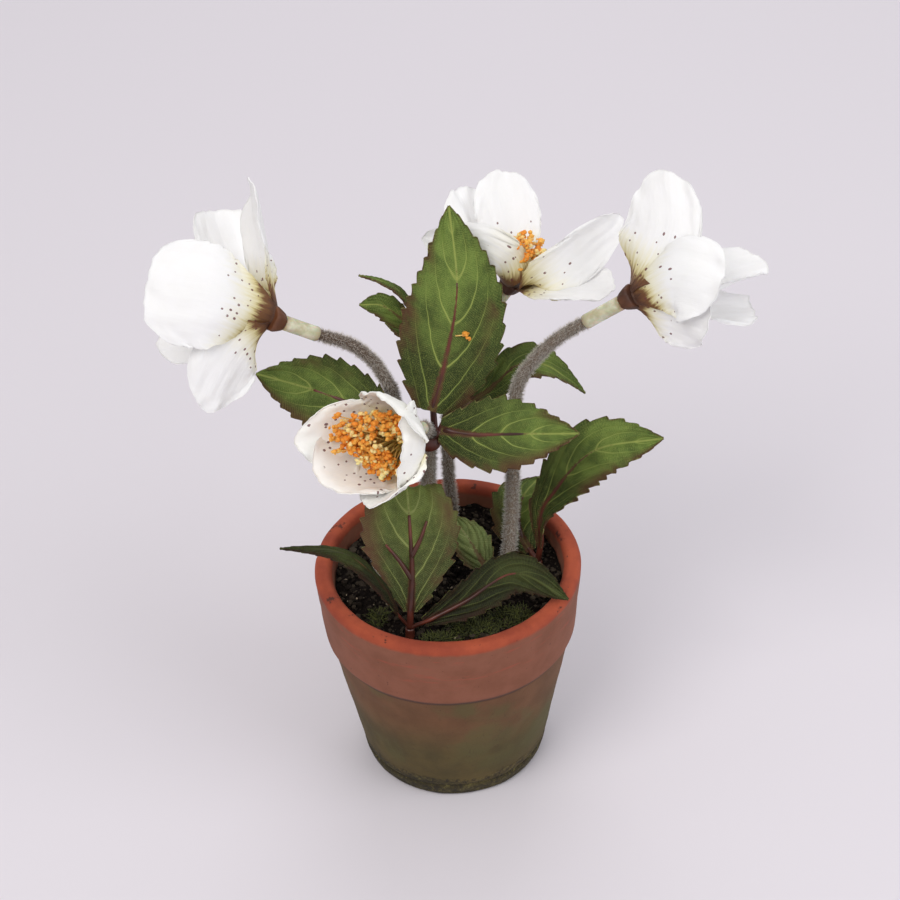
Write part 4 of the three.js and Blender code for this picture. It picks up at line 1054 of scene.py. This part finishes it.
def soil():
    draw = random.Random(5)
    piece = Piece("at")
    edge = pot_inside(SOIL_TOP) - 0.4
    radius, angle = np.linspace(0.01, edge, SOIL_RINGS)[:, None], spokes(SOIL_SPOKES)
    x, y = radius * np.cos(angle), radius * np.sin(angle)
    top = xyz(x, y, soil_height(x, y) + 0.5 * wobble(x / 2, y / 2, 0, 4))
    bottom = xyz(edge * 0.9 * np.cos(angle), edge * 0.9 * np.sin(angle), SOIL_FLOOR)
    verts = np.vstack([top.reshape(-1, 3), bottom, [[0, 0, SOIL_FLOOR]]])
    last = (SOIL_RINGS - 1) * SOIL_SPOKES + np.arange(SOIL_SPOKES)
    after = np.roll(last, -1)
    skirt = np.stack([last, last + SOIL_SPOKES, after + SOIL_SPOKES, after], -1)
    floor = xyz(len(verts) - 1, after + SOIL_SPOKES, last + SOIL_SPOKES)
    piece.add(verts, [grid_faces(SOIL_RINGS, SOIL_SPOKES, wrap=True), skirt, floor])
    for _ in range(SOIL_CRUMBS):
        far = edge * sqrt(draw.random()) * 0.99
        turn = draw.uniform(0, tau)
        px, py = far * cos(turn), far * sin(turn)
        size = 0.35 + 0.9 * draw.random() ** 3
        pale = draw.random() < PALE_CRUMBS
        tone = draw.uniform(0.4, 1.0) if pale else draw.uniform(0, 0.12)
        size = min(size, 0.5) if pale else size
        lump(piece, np.array([px, py, soil_height(px, py) + size * 0.4]), size, draw, (tone, 0, 0))
    piece.make("soil_crumbs", ["soil"], "soil", "soil", smooth=False)


def moss():
    draw = random.Random(8)
    piece = Piece("at")
    share = by_ring([0, 0.6, 1.0], 4)
    for cx, cy, rx, ry in MOSS_PATCHES:
        for _ in range(int(rx * ry * MOSS_DENSITY)):
            far, turn = sqrt(draw.random()), draw.uniform(0, tau)
            x, y = cx + rx * far * cos(turn), cy + ry * far * sin(turn)
            if hypot(x, y) > MOSS_REACH:
                continue
            foot = np.array([x, y, soil_height(x, y) - 0.4])
            tall = draw.uniform(1.2, 3.0) * (1.15 - 0.7 * far**2)
            lean = np.array([draw.gauss(0, 0.5), draw.gauss(0, 0.5), 1.0]) * tall
            path = [foot, foot + lean * 0.55, foot + lean * np.array([1.25, 1.25, 0.95])]
            piece.add(*tube(path, [0.22, 0.18, 0.05], 4), at=xyz(share, draw.random()))
    piece.make("moss_tufts", ["moss"], "leaf")


# ---------------- stage, in metres

FLOOR_HALF = 4.0
# Each soft light: where it is, what it is aimed at, its size, watts and colour.
LIGHTS = {
    "key": ((-0.55, -0.75, 1.35), (0, 0, 0.1), 0.9, 9.6, (1.0, 0.97, 0.94)),
    "fill": ((0.9, -0.5, 0.9), (0, 0, 0.1), 1.0, 5.2, (0.97, 0.98, 1.0)),
    "back": ((0.1, 0.95, 1.1), (0, 0, 0.12), 1.0, 4, (1.0, 0.98, 1.0)),
}
SKY_COLOUR, SKY_STRENGTH = (0.93, 0.92, 0.93, 1), 0.5
CAMERA_PLACE = 0, -0.6646, 0.6511
CAMERA_DOWN, CAMERA_YAW, CAMERA_ROLL = (radians(a) for a in (38.22, 0.21, -2.51))
LENS, SENSOR, CLIP_END = 104, 36, 20  # the first two in millimetres


def stage():
    paper = Shader("floor_paper", roughness=0.9)
    paper.colour = paper.mix(paper.noise(1.2, detail=1), (224, 219, 226), (228, 224, 230))
    floor = bpy.data.meshes.new("floor")
    corners = [(x * FLOOR_HALF, y * FLOOR_HALF, 0) for x, y in ((-1, -1), (1, -1), (1, 1), (-1, 1))]
    floor.from_pydata(corners, [], [(0, 1, 2, 3)])
    floor.materials.append(paper.finish())
    link("floor", floor)


def lights():
    scene = bpy.context.scene
    scene.world = bpy.data.worlds.new("studio")
    scene.world.use_nodes = True
    background = scene.world.node_tree.nodes["Background"]
    background.inputs["Color"].default_value = SKY_COLOUR
    background.inputs["Strength"].default_value = SKY_STRENGTH
    for name, (at, aim, size, watts, colour) in LIGHTS.items():
        light = bpy.data.lights.new(name, "AREA")
        light.shape = "DISK"
        light.size, light.energy, light.color = size, watts, colour
        made = link(name, light)
        made.location = at
        made.rotation_euler = (Vector(aim) - Vector(at)).to_track_quat("-Z", "Y").to_euler()
    scene.view_settings.view_transform = "Standard"


def camera():
    way = np.array([sin(CAMERA_YAW) * cos(CAMERA_DOWN),
                    cos(CAMERA_YAW) * cos(CAMERA_DOWN), -sin(CAMERA_DOWN)])
    level = unit(np.cross(way, (0, 0, 1)))
    upright = np.cross(level, way)
    right = cos(CAMERA_ROLL) * level + sin(CAMERA_ROLL) * upright
    up = -sin(CAMERA_ROLL) * level + cos(CAMERA_ROLL) * upright
    data = bpy.data.cameras.new("camera")
    data.lens, data.sensor_width, data.clip_end = LENS, SENSOR, CLIP_END
    made = link("camera", data)
    made.matrix_world = Matrix.Translation(CAMERA_PLACE) @ Matrix((right, up, -way)).transposed().to_4x4()
    bpy.context.scene.camera = made


# ---------------- everything

camera()
stage()
lights()
pot()
soil()
moss()
for bloom_name, bloom_plan in BLOOMS.items():
    for build in (stem, sleeve, calyx, petals, stamens):
        build(bloom_name, bloom_plan)
leaflets()
dropped_stamen()
for leaf_name, leaf_parts in LEAVES.items():
    ribs(leaf_name, leaf_parts)
